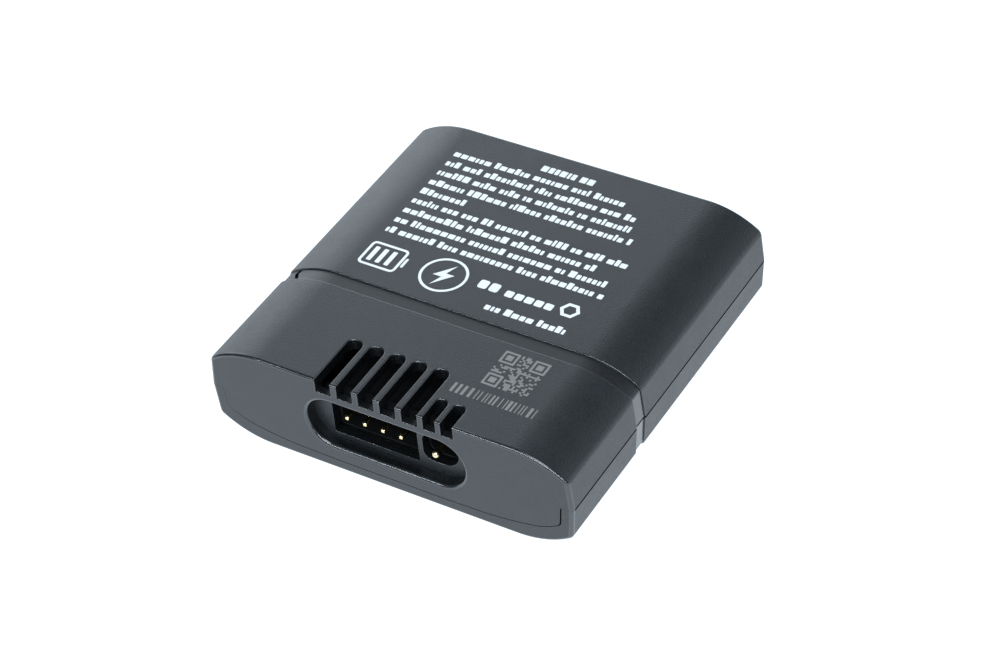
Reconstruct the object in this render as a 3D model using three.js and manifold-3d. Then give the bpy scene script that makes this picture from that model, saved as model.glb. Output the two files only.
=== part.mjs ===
// Pocket balance battery charger: a flat two-shell plastic case with a four-pin balance socket, a round
// data contact and cooling slots at the front, a USB-C inlet and a two-pole output plug at the back,
// and a row of cell lights with a mode button in the underside.
// Millimetres, +Z up. The origin is the centre of the case's outline, on the surface that it rests on.
// X runs across the case, -Y is the balance socket's end and +Y is the power end.

import * as THREE from 'three';
import { mergeVertices } from 'three/addons/utils/BufferGeometryUtils.js';
import Module from 'manifold-3d';

const wasm = await Module();
wasm.setup();

// ---- driving dimensions ----

// Case outline: a lens section, flat on top and below, drawn straight along Y.
const WIDTH = 49.8;
const LENGTH = 48.9;
const HEIGHT = 13.8;
const FLAT_HALF = 17;
const CROWN_RADIUS = 12.3;
const CREASE_HALF = 24.5;
const END_ROUND = 0.5;

// Shells
const WALL = 1.5;
const PART_Z = HEIGHT / 2;
const SEAM = 0.3;
const LIP_OUTER_INSET = 0.9;
const LIP_HEIGHT = 1.0;
const GROOVE_START = 15.34;
const GROOVE_WIDTH = 2.07;
const GROOVE_DEPTH = 0.2;

// Front flap of the upper shell, which carries the sockets
const FLAP_HALF = 23.2;
const FLAP_LOW_Z = 1.9;
const FLAP_FLAT_HALF = 14.5;
const FLAP_CORNER_X = 21.4;
const FLAP_CORNER_Z = 3.2;
const FLAP_SIDE_Z = 5.2;

// Socket bay: a stadium-shaped recess with two openings in its back wall
const BAY_CENTRE_X = -0.31;
const BAY_CENTRE_Z = 7.17;
const BAY_WIDTH = 21.88;
const BAY_HEIGHT = 7.3;
const BAY_DEPTH = 1.8;
const BAY_BACK_WALL = 1.2;
const BAY_SIDE_WALL = 0.5;

// Balance connector: 2.5 mm pitch, four square pins
const PIN_PITCH = 2.5;
const PIN_COUNT = 4;
const PIN_SIZE = 0.64;
const PIN_CENTRE_X = -2.85;
const PIN_TIP_DEPTH = 1.7;
const SOCKET_WIDTH = 11.75;
const SOCKET_HEIGHT = 5.74;
const SOCKET_CENTRE_X = -2.73;
const HEADER_WIDTH = 12.4;
const HEADER_HEIGHT = 5.74;
const HEADER_DEPTH = 7.0;
const HEADER_WALL = 0.8;
const HEADER_FLOOR = 1.5;

// Round data contact in its D-shaped socket
const DATA_X = 6.07;
const DATA_RADIUS = 0.5;
const DATA_TIP_DEPTH = 0.72;
const D_LEFT = 3.85;
const D_ROUND_X = 6.7;
const D_ROUND_RADIUS = 2.0;
const D_CORNER = 1.2;

// Cooling slots in the upper shell
const SLOT_PITCH = 2.97;
const SLOT_WIDTH = 2.1;
const SLOT_FIRST_X = -8.2;
const SLOT_LONG_COUNT = 5;
const SLOT_LONG_LENGTH = 8.1;
const SLOT_SHORT_XS = [6.32, 8.69];
const SLOT_SHORT_WIDTH = 1.62;
const SLOT_SHORT_LENGTH = 3.7;
const SLOT_BAR_TOP = 11.92;
const SLOT_BAR_THICKNESS = 1.0;

// Circuit board
const BOARD_BOTTOM = 3.0;
const BOARD_THICKNESS = 1.0;
const BOARD_HALF = 21.4;
const BOARD_GAP = 0.35;
const BOARD_STEP_X = -1.1;
const BOARD_STEP_Y = 7.6;
const SOLDER_GAP = 0.15;

// Board screws, M2 pan head
const SCREW_POINTS = [[-18.4, -17.5], [18.4, -17.5], [-18.4, 4.8], [18.6, 13.2]];
const SCREW_RADIUS = 0.95;
const SCREW_HEAD_RADIUS = 1.8;
const SCREW_HEAD_HEIGHT = 0.9;
const SCREW_TIP_Z = 1.05;
const BOSS_RADIUS = 2.0;
const BOSS_HOLE_RADIUS = 1.1;

// Output connector: 3.5 mm round contacts 7.2 mm apart in a keyed shroud
const OUTPUT_X = -9.5;
const OUTPUT_Z = 7.1;
const OUTPUT_WIDTH = 15.9;
const OUTPUT_HEIGHT = 8.1;
const OUTPUT_LENGTH = 16.2;
const OUTPUT_CHAMFER = 2.4;
const OUTPUT_WALL = 1.0;
const OUTPUT_CAVITY_DEPTH = 10.5;
const OUTPUT_INSET = 0.2;
const CONTACT_RADIUS = 1.75;
const CONTACT_SPACING = 7.2;
const CONTACT_TIP_INSET = 1.6;
const CONTACT_SLIT = 0.5;
const TAIL_RADIUS = 0.8;
const TAIL_Y = 5.3;

// USB-C receptacle
const USB_X = 12.0;
const USB_WIDTH = 8.94;
const USB_HEIGHT = 3.16;
const USB_SHEET = 0.25;
const USB_LENGTH = 7.3;
const USB_INSET = 0.5;
const USB_TONGUE_WIDTH = 6.7;
const USB_TONGUE_THICKNESS = 0.7;
const USB_PORT_CLEARANCE = 0.4;

// Mode button and its tact switch
const BUTTON_X = 0;
const BUTTON_Y = -1.5;
const BUTTON_RADIUS = 3.8;
const BUTTON_HOLE_RADIUS = 4.1;
const BUTTON_FLANGE_RADIUS = 4.8;
const BUTTON_FACE_Z = 0.35;
const BUTTON_SEAT_Z = 1.0;
const BUTTON_FLANGE_Z = 1.15;
const BUTTON_TOP_Z = 1.55;
const BUTTON_FACETS = 32;
const SWITCH_SIZE = 4.6;
const SWITCH_BOTTOM_Z = 2.0;
const SWITCH_TOP_Z = 2.9;

// Cell lights
const LIGHT_PITCH = 6.0;
const LIGHT_COUNT = 4;
const LIGHT_Y = 5.9;
const LIGHT_WIDTH = 4.2;
const LIGHT_HEIGHT = 1.4;
const LIGHT_FLANGE = 0.5;
const LIGHT_CLEARANCE = 0.12;
const STATUS_X = 9.0;
const STATUS_RADIUS = 0.9;

// ---- derived places ----

const FRONT_Y = -LENGTH / 2;
const BACK_Y = LENGTH / 2;
const CROWN_CENTRE_Z = HEIGHT - CROWN_RADIUS;
const CREASE_Z = CROWN_CENTRE_Z + Math.sqrt(CROWN_RADIUS ** 2 - (CREASE_HALF - FLAT_HALF) ** 2);
const BAY_BACK_Y = FRONT_Y + BAY_DEPTH;
const BAY_REAR_Y = BAY_BACK_Y + BAY_BACK_WALL;
const LIP_FRONT_Y = BAY_REAR_Y + 1.3;
const HEADER_FRONT_Y = BAY_REAR_Y + SEAM;
const HEADER_BACK_Y = HEADER_FRONT_Y + HEADER_DEPTH;
const PIN_BEND_Y = HEADER_BACK_Y + 2.0;
const BOARD_TOP = BOARD_BOTTOM + BOARD_THICKNESS;
const BOARD_FRONT_Y = BAY_REAR_Y + BOARD_GAP;
const BOARD_BACK_Y = BACK_Y - WALL - BOARD_GAP;
const PART_FLOOR = BOARD_TOP + SOLDER_GAP;
const TAIL_END_Z = BOARD_BOTTOM - 0.5;
const USB_Z = BOARD_TOP + 0.3 + USB_HEIGHT / 2;
const BIG = 100;

// Facets in each arc
const CROWN_FACETS = 7;
const ROUND_FACETS = 4;
const CORNER_FACETS = 2;

// ---- solids ----

function toSolid(geometry) {
  const bare = geometry.clone();
  bare.deleteAttribute('normal');
  bare.deleteAttribute('uv');
  const merged = mergeVertices(bare, 1e-4);
  return new wasm.Manifold(new wasm.Mesh({
    numProp: 3,
    vertProperties: new Float32Array(merged.attributes.position.array),
    triVerts: new Uint32Array(merged.index.array),
  }));
}

function toGeometry(solid) {
  const mesh = solid.getMesh();
  const geometry = new THREE.BufferGeometry();
  geometry.setAttribute('position', new THREE.BufferAttribute(mesh.vertProperties, 3));
  geometry.setIndex(new THREE.BufferAttribute(mesh.triVerts, 1));
  geometry.computeVertexNormals();
  return geometry;
}

// A block between two corners.
function block(low, high) {
  const size = high.map((value, axis) => value - low[axis]);
  const centre = high.map((value, axis) => (value + low[axis]) / 2);
  return toSolid(new THREE.BoxGeometry(...size).translate(...centre));
}

// A shape drawn in X and Z, drawn out along Y.
function alongY(shape, start, end, facets = CORNER_FACETS, bevel = { bevelEnabled: false }) {
  const settings = { depth: end - start, curveSegments: facets, ...bevel };
  const geometry = new THREE.ExtrudeGeometry(shape, settings);
  return toSolid(geometry.rotateX(Math.PI / 2).translate(0, end, 0));
}

// A shape drawn in X and Y, drawn out along Z.
function alongZ(shape, start, end, facets = ROUND_FACETS) {
  const settings = { depth: end - start, curveSegments: facets, bevelEnabled: false };
  return toSolid(new THREE.ExtrudeGeometry(shape, settings).translate(0, 0, start));
}

// A shape drawn in Y and Z, drawn out along X and centred on x.
function alongX(shape, x, width) {
  const settings = { depth: width, curveSegments: ROUND_FACETS, bevelEnabled: false };
  const turn = new THREE.Matrix4().makeBasis(
    new THREE.Vector3(0, 1, 0),
    new THREE.Vector3(0, 0, 1),
    new THREE.Vector3(1, 0, 0),
  );
  const geometry = new THREE.ExtrudeGeometry(shape, settings).applyMatrix4(turn);
  return toSolid(geometry.translate(x - width / 2, 0, 0));
}

// A round bar or disc about a vertical axis.
function disc(x, y, radius, low, high, segments = 24) {
  const geometry = new THREE.CylinderGeometry(radius, radius, high - low, segments);
  return toSolid(geometry.rotateX(Math.PI / 2).translate(x, y, (low + high) / 2));
}

// A round bar along Y.
function barAlongY(x, z, radius, start, end, segments = 20) {
  const geometry = new THREE.CylinderGeometry(radius, radius, end - start, segments);
  return toSolid(geometry.translate(x, (start + end) / 2, z));
}

// A turned piece about a vertical axis at x, y, from radius and height pairs that start and end on it.
function turned(points, x, y, segments = 24) {
  const profile = points.map(([radius, z]) => new THREE.Vector2(radius, z));
  return toSolid(new THREE.LatheGeometry(profile, segments).rotateX(Math.PI / 2).translate(x, y, 0));
}

// ---- outlines ----

// Rectangle with rounded corners.
function roundedRect(centreX, centreY, width, height, radius) {
  const left = centreX - width / 2;
  const right = centreX + width / 2;
  const low = centreY - height / 2;
  const high = centreY + height / 2;
  const shape = new THREE.Shape();
  shape.absarc(right - radius, low + radius, radius, -Math.PI / 2, 0, false);
  shape.absarc(right - radius, high - radius, radius, 0, Math.PI / 2, false);
  shape.absarc(left + radius, high - radius, radius, Math.PI / 2, Math.PI, false);
  shape.absarc(left + radius, low + radius, radius, Math.PI, 1.5 * Math.PI, false);
  shape.closePath();
  return shape;
}

function stadium(centreX, centreY, width, height) {
  return roundedRect(centreX, centreY, width, height, Math.min(width, height) / 2 - 1e-3);
}

// Where the drafted side wall meets the parting plane and the crown arc, both set in by inset.
function wallPoints(inset) {
  const run = new THREE.Vector2(CREASE_HALF - WIDTH / 2, CREASE_Z - PART_Z).normalize();
  const inward = new THREE.Vector2(-run.y, run.x);
  const foot = new THREE.Vector2(WIDTH / 2, PART_Z).addScaledVector(inward, inset);
  foot.addScaledVector(run, (PART_Z - foot.y) / run.y);
  const fromCentre = foot.clone().sub(new THREE.Vector2(FLAT_HALF, CROWN_CENTRE_Z));
  const along = fromCentre.dot(run);
  const radius = CROWN_RADIUS - inset;
  const reach = -along + Math.sqrt(along ** 2 - fromCentre.lengthSq() + radius ** 2);
  return { foot, crease: foot.clone().addScaledVector(run, reach) };
}

// The case's section, set in by inset all round.
function lens(inset) {
  const { foot, crease } = wallPoints(inset);
  const radius = CROWN_RADIUS - inset;
  const angle = Math.atan2(crease.y - CROWN_CENTRE_Z, crease.x - FLAT_HALF);
  const lowerCentreZ = HEIGHT - CROWN_CENTRE_Z;
  const shape = new THREE.Shape();
  shape.moveTo(foot.x, PART_Z);
  shape.lineTo(crease.x, crease.y);
  shape.absarc(FLAT_HALF, CROWN_CENTRE_Z, radius, angle, Math.PI / 2, false);
  shape.absarc(-FLAT_HALF, CROWN_CENTRE_Z, radius, Math.PI / 2, Math.PI - angle, false);
  shape.lineTo(-foot.x, PART_Z);
  shape.absarc(-FLAT_HALF, lowerCentreZ, radius, Math.PI + angle, 1.5 * Math.PI, false);
  shape.absarc(FLAT_HALF, lowerCentreZ, radius, 1.5 * Math.PI, 2 * Math.PI - angle, false);
  shape.closePath();
  return shape;
}

// The flap's outline below the parting plane, grown by gap. Its top stays at topZ.
function flap(gap, topZ) {
  const side = FLAP_HALF + gap;
  const low = FLAP_LOW_Z - gap;
  const cornerX = FLAP_CORNER_X + gap;
  const cornerZ = FLAP_CORNER_Z - gap;
  const shape = new THREE.Shape();
  shape.moveTo(-side, topZ);
  shape.lineTo(-side, FLAP_SIDE_Z);
  shape.quadraticCurveTo(-side, cornerZ + 0.45, -cornerX, cornerZ);
  shape.quadraticCurveTo(-FLAP_FLAT_HALF - 3.2, low, -FLAP_FLAT_HALF, low);
  shape.lineTo(FLAP_FLAT_HALF, low);
  shape.quadraticCurveTo(FLAP_FLAT_HALF + 3.2, low, cornerX, cornerZ);
  shape.quadraticCurveTo(side, cornerZ + 0.45, side, FLAP_SIDE_Z);
  shape.lineTo(side, topZ);
  shape.closePath();
  return shape;
}

// The data contact's D: a round right end and a straight left side with rounded corners.
function dShape(grow) {
  const left = D_LEFT - grow;
  const radius = D_ROUND_RADIUS + grow;
  const corner = D_CORNER + grow;
  const shape = new THREE.Shape();
  shape.absarc(D_ROUND_X, BAY_CENTRE_Z, radius, -Math.PI / 2, Math.PI / 2, false);
  shape.absarc(left + corner, BAY_CENTRE_Z + radius - corner, corner, Math.PI / 2, Math.PI, false);
  shape.absarc(left + corner, BAY_CENTRE_Z - radius + corner, corner, Math.PI, 1.5 * Math.PI, false);
  shape.closePath();
  return shape;
}

// A slot that is open at the front and round at its back end.
function slotShape(centreX, width, length) {
  const radius = width / 2;
  const end = FRONT_Y + length - radius;
  const shape = new THREE.Shape();
  shape.moveTo(centreX - radius, FRONT_Y - 1);
  shape.lineTo(centreX + radius, FRONT_Y - 1);
  shape.absarc(centreX, end, radius, 0, Math.PI, false);
  shape.closePath();
  return shape;
}

// The output connector's outline: a rectangle with two keyed corners on its right.
function outputShape(grow) {
  const left = OUTPUT_X - OUTPUT_WIDTH / 2 - grow;
  const right = OUTPUT_X + OUTPUT_WIDTH / 2 + grow;
  const low = OUTPUT_Z - OUTPUT_HEIGHT / 2 - grow;
  const high = OUTPUT_Z + OUTPUT_HEIGHT / 2 + grow;
  const cut = OUTPUT_CHAMFER + grow / 2;
  const shape = new THREE.Shape();
  shape.moveTo(left, low);
  shape.lineTo(right - cut, low);
  shape.lineTo(right, low + cut);
  shape.lineTo(right, high - cut);
  shape.lineTo(right - cut, high);
  shape.lineTo(left, high);
  shape.closePath();
  return shape;
}

const lightXs = Array.from({ length: LIGHT_COUNT }, (_, i) => (i - (LIGHT_COUNT - 1) / 2) * LIGHT_PITCH);
const pinXs = Array.from({ length: PIN_COUNT }, (_, i) => {
  return PIN_CENTRE_X + (i - (PIN_COUNT - 1) / 2) * PIN_PITCH;
});

// ---- case ----

function outerBody() {
  const bevel = {
    bevelEnabled: true,
    bevelThickness: END_ROUND,
    bevelSize: END_ROUND,
    bevelOffset: -END_ROUND,
    bevelSegments: 2,
  };
  return alongY(lens(0), FRONT_Y + END_ROUND, BACK_Y - END_ROUND, CROWN_FACETS, bevel);
}

function grooveCutter() {
  const start = FRONT_Y + GROOVE_START;
  const end = start + GROOVE_WIDTH;
  const band = block([-WIDTH, start, -HEIGHT], [WIDTH, end, 2 * HEIGHT]);
  return band.subtract(alongY(lens(GROOVE_DEPTH), start - 1, end + 1, CROWN_FACETS));
}

// The walls of both shells in one, hollow inside and grooved outside.
function hollowCase() {
  const cavity = alongY(lens(WALL), FRONT_Y + WALL, BACK_Y - WALL, CROWN_FACETS);
  return outerBody().subtract(cavity).subtract(grooveCutter());
}

// Ports for the output connector and the USB-C plug in the back wall.
function backPorts() {
  const output = alongY(outputShape(SEAM), BACK_Y - 3, BACK_Y + 1);
  const usbWidth = USB_WIDTH + 2 * USB_PORT_CLEARANCE;
  const usbHeight = USB_HEIGHT + 2 * USB_PORT_CLEARANCE;
  const usb = alongY(stadium(USB_X, USB_Z, usbWidth, usbHeight), BACK_Y - 3, BACK_Y + 1, ROUND_FACETS);
  return output.add(usb);
}

// Snap tabs hang from the upper shell just inside the side walls and hook into pockets below the seam.
const SNAP_YS = [-14, 12];
const SNAP_LENGTH = 4;
const SNAP_INNER_X = 22.1;
const SNAP_OUTER_X = 22.9;
const SNAP_HOOK_X = 23.45;
const SNAP_TOP_Z = 9.2;
const SNAP_LOW_Z = 4.9;
const SNAP_HOOK_Z = 5.9;

function snapTab(side, y) {
  const shape = new THREE.Shape();
  const wallX = SNAP_HOOK_X + 0.6;
  shape.moveTo(side * SNAP_INNER_X, SNAP_LOW_Z);
  shape.lineTo(side * SNAP_OUTER_X, SNAP_LOW_Z);
  shape.lineTo(side * SNAP_HOOK_X, SNAP_HOOK_Z - 0.3);
  shape.lineTo(side * SNAP_HOOK_X, SNAP_HOOK_Z);
  shape.lineTo(side * SNAP_OUTER_X, SNAP_HOOK_Z);
  shape.lineTo(side * SNAP_OUTER_X, SNAP_TOP_Z - 0.8);
  shape.lineTo(side * wallX, SNAP_TOP_Z - 0.8);
  shape.lineTo(side * wallX, SNAP_TOP_Z + 0.4);
  shape.lineTo(side * SNAP_INNER_X, SNAP_TOP_Z + 0.4);
  shape.closePath();
  return alongY(shape, y - SNAP_LENGTH / 2, y + SNAP_LENGTH / 2);
}

function snapPocket(side, y) {
  const reach = SNAP_LENGTH / 2 + SEAM;
  const low = [Math.min(side * 22.5, side * (SNAP_HOOK_X + SEAM)), y - reach, SNAP_LOW_Z];
  const high = [Math.max(side * 22.5, side * (SNAP_HOOK_X + SEAM)), y + reach, SNAP_HOOK_Z + SEAM];
  return block(low, high);
}

// A slot stops at the bar over the socket bay and goes a little deeper behind the bar.
function slotCutter(x, width, length) {
  const shape = slotShape(x, width, length);
  const bayTop = BAY_CENTRE_Z + BAY_HEIGHT / 2 + BAY_SIDE_WALL;
  const behindBar = block([-BIG, FRONT_Y + SLOT_BAR_THICKNESS, -BIG], [BIG, BIG, BIG]);
  return alongZ(shape, SLOT_BAR_TOP, HEIGHT + 1).add(alongZ(shape, bayTop, HEIGHT).intersect(behindBar));
}

function upperShell() {
  const flapReach = FRONT_Y + WALL;
  const region = block([-BIG, -BIG, PART_Z + SEAM / 2], [BIG, BIG, BIG])
    .add(alongY(flap(0, PART_Z + 1), FRONT_Y - 1, flapReach, ROUND_FACETS));
  let shell = hollowCase().intersect(region);

  const bayBlock = roundedRect(
    BAY_CENTRE_X,
    BAY_CENTRE_Z,
    BAY_WIDTH + 2 * BAY_SIDE_WALL + 0.6,
    BAY_HEIGHT + 2 * BAY_SIDE_WALL,
    BAY_HEIGHT / 2,
  );
  shell = shell.add(alongY(bayBlock, flapReach - 0.5, BAY_REAR_Y, CROWN_FACETS));

  const rebateInset = LIP_OUTER_INSET - SEAM;
  const rebate = alongY(lens(rebateInset), LIP_FRONT_Y - SEAM, BACK_Y - rebateInset, CROWN_FACETS)
    .intersect(block([-BIG, -BIG, PART_Z - 1], [BIG, BIG, PART_Z + LIP_HEIGHT + SEAM]));
  shell = shell.subtract(rebate);

  for (const side of [-1, 1]) {
    for (const y of SNAP_YS) {
      shell = shell.add(snapTab(side, y));
    }
  }

  const bay = stadium(BAY_CENTRE_X, BAY_CENTRE_Z, BAY_WIDTH, BAY_HEIGHT);
  shell = shell.subtract(alongY(bay, FRONT_Y - 1, BAY_BACK_Y, CROWN_FACETS));
  const socket = roundedRect(SOCKET_CENTRE_X, BAY_CENTRE_Z, SOCKET_WIDTH, SOCKET_HEIGHT, 0.2);
  shell = shell.subtract(alongY(socket, BAY_BACK_Y - 0.5, BAY_REAR_Y + 0.5));
  shell = shell.subtract(alongY(dShape(0), BAY_BACK_Y - 0.5, BAY_REAR_Y + 0.5, ROUND_FACETS));

  for (let i = 0; i < SLOT_LONG_COUNT; i += 1) {
    shell = shell.subtract(slotCutter(SLOT_FIRST_X + i * SLOT_PITCH, SLOT_WIDTH, SLOT_LONG_LENGTH));
  }
  for (const x of SLOT_SHORT_XS) {
    shell = shell.subtract(slotCutter(x, SLOT_SHORT_WIDTH, SLOT_SHORT_LENGTH));
  }
  return shell.subtract(backPorts());
}

function lowerShell() {
  const region = block([-BIG, -BIG, -1], [BIG, BIG, PART_Z - SEAM / 2])
    .subtract(alongY(flap(SEAM, PART_Z + 1), FRONT_Y - 1, FRONT_Y + WALL + SEAM, ROUND_FACETS));
  let shell = hollowCase().intersect(region);

  const lip = alongY(lens(LIP_OUTER_INSET), FRONT_Y, BACK_Y - LIP_OUTER_INSET, CROWN_FACETS)
    .subtract(alongY(lens(WALL), FRONT_Y - 1, BACK_Y - WALL, CROWN_FACETS))
    .intersect(block([-BIG, LIP_FRONT_Y, PART_Z - 0.5], [BIG, BIG, PART_Z + LIP_HEIGHT]));
  shell = shell.add(lip);

  const bossTop = BOARD_BOTTOM - 0.3;
  for (const [x, y] of SCREW_POINTS) {
    shell = shell.add(disc(x, y, BOSS_RADIUS, WALL / 2, bossTop, 16));
    shell = shell.subtract(disc(x, y, BOSS_HOLE_RADIUS, SCREW_TIP_Z - 0.3, bossTop + 1, 16));
  }

  for (const side of [-1, 1]) {
    for (const y of SNAP_YS) {
      shell = shell.subtract(snapPocket(side, y));
    }
  }

  shell = shell.subtract(disc(BUTTON_X, BUTTON_Y, BUTTON_HOLE_RADIUS, -1, WALL + 1, BUTTON_FACETS));
  const seatRadius = BUTTON_FLANGE_RADIUS + SEAM;
  shell = shell.subtract(disc(BUTTON_X, BUTTON_Y, seatRadius, BUTTON_SEAT_Z, WALL + 1, BUTTON_FACETS));
  const window = 2 * LIGHT_CLEARANCE;
  for (const x of lightXs) {
    const shape = stadium(x, LIGHT_Y, LIGHT_WIDTH + window, LIGHT_HEIGHT + window);
    shell = shell.subtract(alongZ(shape, -1, WALL + 0.5));
  }
  shell = shell.subtract(disc(STATUS_X, BUTTON_Y, STATUS_RADIUS + LIGHT_CLEARANCE, -1, WALL + 0.5, 16));
  return shell.subtract(backPorts());
}

// ---- connectors ----

function balanceHeader() {
  const outer = roundedRect(PIN_CENTRE_X, BAY_CENTRE_Z, HEADER_WIDTH, HEADER_HEIGHT, 0.3);
  const innerWidth = HEADER_WIDTH - 2 * HEADER_WALL;
  const innerHeight = HEADER_HEIGHT - 2 * HEADER_WALL;
  const inner = roundedRect(PIN_CENTRE_X, BAY_CENTRE_Z, innerWidth, innerHeight, 0.2);
  let header = alongY(outer, HEADER_FRONT_Y, HEADER_BACK_Y);
  header = header.subtract(alongY(inner, HEADER_FRONT_Y - 1, HEADER_BACK_Y - HEADER_FLOOR));
  const hole = PIN_SIZE + 0.2;
  for (const x of pinXs) {
    header = header.subtract(block(
      [x - hole / 2, HEADER_FRONT_Y, BAY_CENTRE_Z - hole / 2],
      [x + hole / 2, HEADER_BACK_Y + 1, BAY_CENTRE_Z + hole / 2],
    ));
  }
  const keySlot = 1.4;
  const keyDepth = 3.2;
  for (const side of [-1, 1]) {
    const x = PIN_CENTRE_X + side * PIN_PITCH;
    header = header.subtract(block(
      [x - keySlot / 2, HEADER_FRONT_Y - 1, BAY_CENTRE_Z + innerHeight / 2 - 0.1],
      [x + keySlot / 2, HEADER_FRONT_Y + keyDepth, BAY_CENTRE_Z + HEADER_HEIGHT],
    ));
  }
  return header;
}

// A pin that lies along Y, turns down behind its header and ends below the board.
function balancePin(x) {
  const half = PIN_SIZE / 2;
  const tip = FRONT_Y + PIN_TIP_DEPTH;
  const taper = 0.5;
  const bend = 0.5;
  const centre = BAY_CENTRE_Z;
  const shape = new THREE.Shape();
  shape.moveTo(tip, centre - half / 2);
  shape.lineTo(tip + taper, centre - half);
  shape.lineTo(PIN_BEND_Y - half, centre - half);
  shape.lineTo(PIN_BEND_Y - half, TAIL_END_Z);
  shape.lineTo(PIN_BEND_Y + half, TAIL_END_Z);
  shape.absarc(PIN_BEND_Y + half - bend, centre + half - bend, bend, 0, Math.PI / 2, false);
  shape.lineTo(tip + taper, centre + half);
  shape.lineTo(tip, centre + half / 2);
  shape.closePath();
  return alongX(shape, x, PIN_SIZE);
}

function dataHolder() {
  const width = 5.35;
  const centreX = D_LEFT - 0.2 + width / 2;
  const outer = roundedRect(centreX, BAY_CENTRE_Z, width, HEADER_HEIGHT, 0.3);
  let holder = alongY(outer, HEADER_FRONT_Y, HEADER_BACK_Y);
  const floor = HEADER_BACK_Y - HEADER_FLOOR;
  holder = holder.subtract(alongY(dShape(-0.05), HEADER_FRONT_Y - 1, floor, ROUND_FACETS));
  const hole = barAlongY(DATA_X, BAY_CENTRE_Z, DATA_RADIUS + 0.1, HEADER_BACK_Y - 3, HEADER_BACK_Y + 1);
  return holder.subtract(hole);
}

// Round contact with a domed tip, turned down behind its holder.
function dataPin() {
  const tip = FRONT_Y + DATA_TIP_DEPTH;
  const dome = tip + DATA_RADIUS;
  const straight = barAlongY(DATA_X, BAY_CENTRE_Z, DATA_RADIUS, dome, PIN_BEND_Y, 16);
  const nose = new THREE.SphereGeometry(DATA_RADIUS, 16, 10).translate(DATA_X, dome, BAY_CENTRE_Z);
  const elbow = new THREE.SphereGeometry(DATA_RADIUS, 16, 10).translate(DATA_X, PIN_BEND_Y, BAY_CENTRE_Z);
  const tail = disc(DATA_X, PIN_BEND_Y, DATA_RADIUS, TAIL_END_Z, BAY_CENTRE_Z, 16);
  return straight.add(toSolid(nose)).add(toSolid(elbow)).add(tail);
}

function outputHousing() {
  const mouth = BACK_Y - OUTPUT_INSET;
  const back = mouth - OUTPUT_LENGTH;
  let housing = alongY(outputShape(0), back, mouth);
  const cavityFloor = mouth - OUTPUT_CAVITY_DEPTH;
  housing = housing.subtract(alongY(outputShape(-OUTPUT_WALL), cavityFloor, mouth + 1));
  for (const side of [-1, 1]) {
    const x = OUTPUT_X + side * CONTACT_SPACING / 2;
    housing = housing.subtract(barAlongY(x, OUTPUT_Z, CONTACT_RADIUS + 0.1, back - 1, mouth));
  }
  return housing;
}

// A split round contact with a solder tail that turns down into the board.
function outputContact(side) {
  const x = OUTPUT_X + side * CONTACT_SPACING / 2;
  const tip = BACK_Y - OUTPUT_INSET - CONTACT_TIP_INSET;
  const shoulder = 0.5;
  const rear = BACK_Y - OUTPUT_INSET - OUTPUT_LENGTH - 0.6;
  const slitLength = 7.5;
  let contact = barAlongY(x, OUTPUT_Z, CONTACT_RADIUS, rear, tip - shoulder);
  const nose = new THREE.CylinderGeometry(CONTACT_RADIUS - shoulder, CONTACT_RADIUS, shoulder, 20);
  contact = contact.add(toSolid(nose.translate(x, tip - shoulder / 2, OUTPUT_Z)));
  const reach = CONTACT_RADIUS + 1;
  const half = CONTACT_SLIT / 2;
  const slitStart = tip - slitLength;
  contact = contact
    .subtract(block([x - half, slitStart, OUTPUT_Z - reach], [x + half, tip + 1, OUTPUT_Z + reach]))
    .subtract(block([x - reach, slitStart, OUTPUT_Z - half], [x + reach, tip + 1, OUTPUT_Z + half]));
  contact = contact.add(barAlongY(x, OUTPUT_Z, TAIL_RADIUS, TAIL_Y, rear + 0.5, 16));
  const elbow = new THREE.SphereGeometry(TAIL_RADIUS, 16, 10).translate(x, TAIL_Y, OUTPUT_Z);
  return contact.add(toSolid(elbow)).add(disc(x, TAIL_Y, TAIL_RADIUS, TAIL_END_Z, OUTPUT_Z, 16));
}

const USB_LEG_YS = [2.2, 6.0];
const USB_LEG_WIDTH = 1.1;
const USB_LEG_SHEET = 0.3;

function usbShell() {
  const mouth = BACK_Y - USB_INSET;
  const back = mouth - USB_LENGTH;
  const outer = stadium(USB_X, USB_Z, USB_WIDTH, USB_HEIGHT);
  const inner = stadium(USB_X, USB_Z, USB_WIDTH - 2 * USB_SHEET, USB_HEIGHT - 2 * USB_SHEET);
  let shell = alongY(outer, back, mouth, ROUND_FACETS);
  for (const side of [-1, 1]) {
    const outerX = USB_X + side * (USB_WIDTH / 2 + 0.05);
    const innerX = outerX - side * USB_LEG_SHEET;
    for (const offset of USB_LEG_YS) {
      const y = mouth - offset;
      shell = shell.add(block(
        [Math.min(outerX, innerX), y - USB_LEG_WIDTH / 2, TAIL_END_Z],
        [Math.max(outerX, innerX), y + USB_LEG_WIDTH / 2, USB_Z],
      ));
    }
  }
  return shell.subtract(alongY(inner, back - 1, mouth + 1, ROUND_FACETS));
}

function usbInsert() {
  const mouth = BACK_Y - USB_INSET;
  const back = mouth - USB_LENGTH;
  const gap = USB_SHEET + 0.1;
  const plugBody = stadium(USB_X, USB_Z, USB_WIDTH - 2 * gap, USB_HEIGHT - 2 * gap);
  const tongue = roundedRect(USB_X, USB_Z, USB_TONGUE_WIDTH, USB_TONGUE_THICKNESS, 0.2);
  return alongY(plugBody, back, back + 1.5, ROUND_FACETS).add(alongY(tongue, back + 1, mouth - 0.7));
}

// ---- board ----

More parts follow.
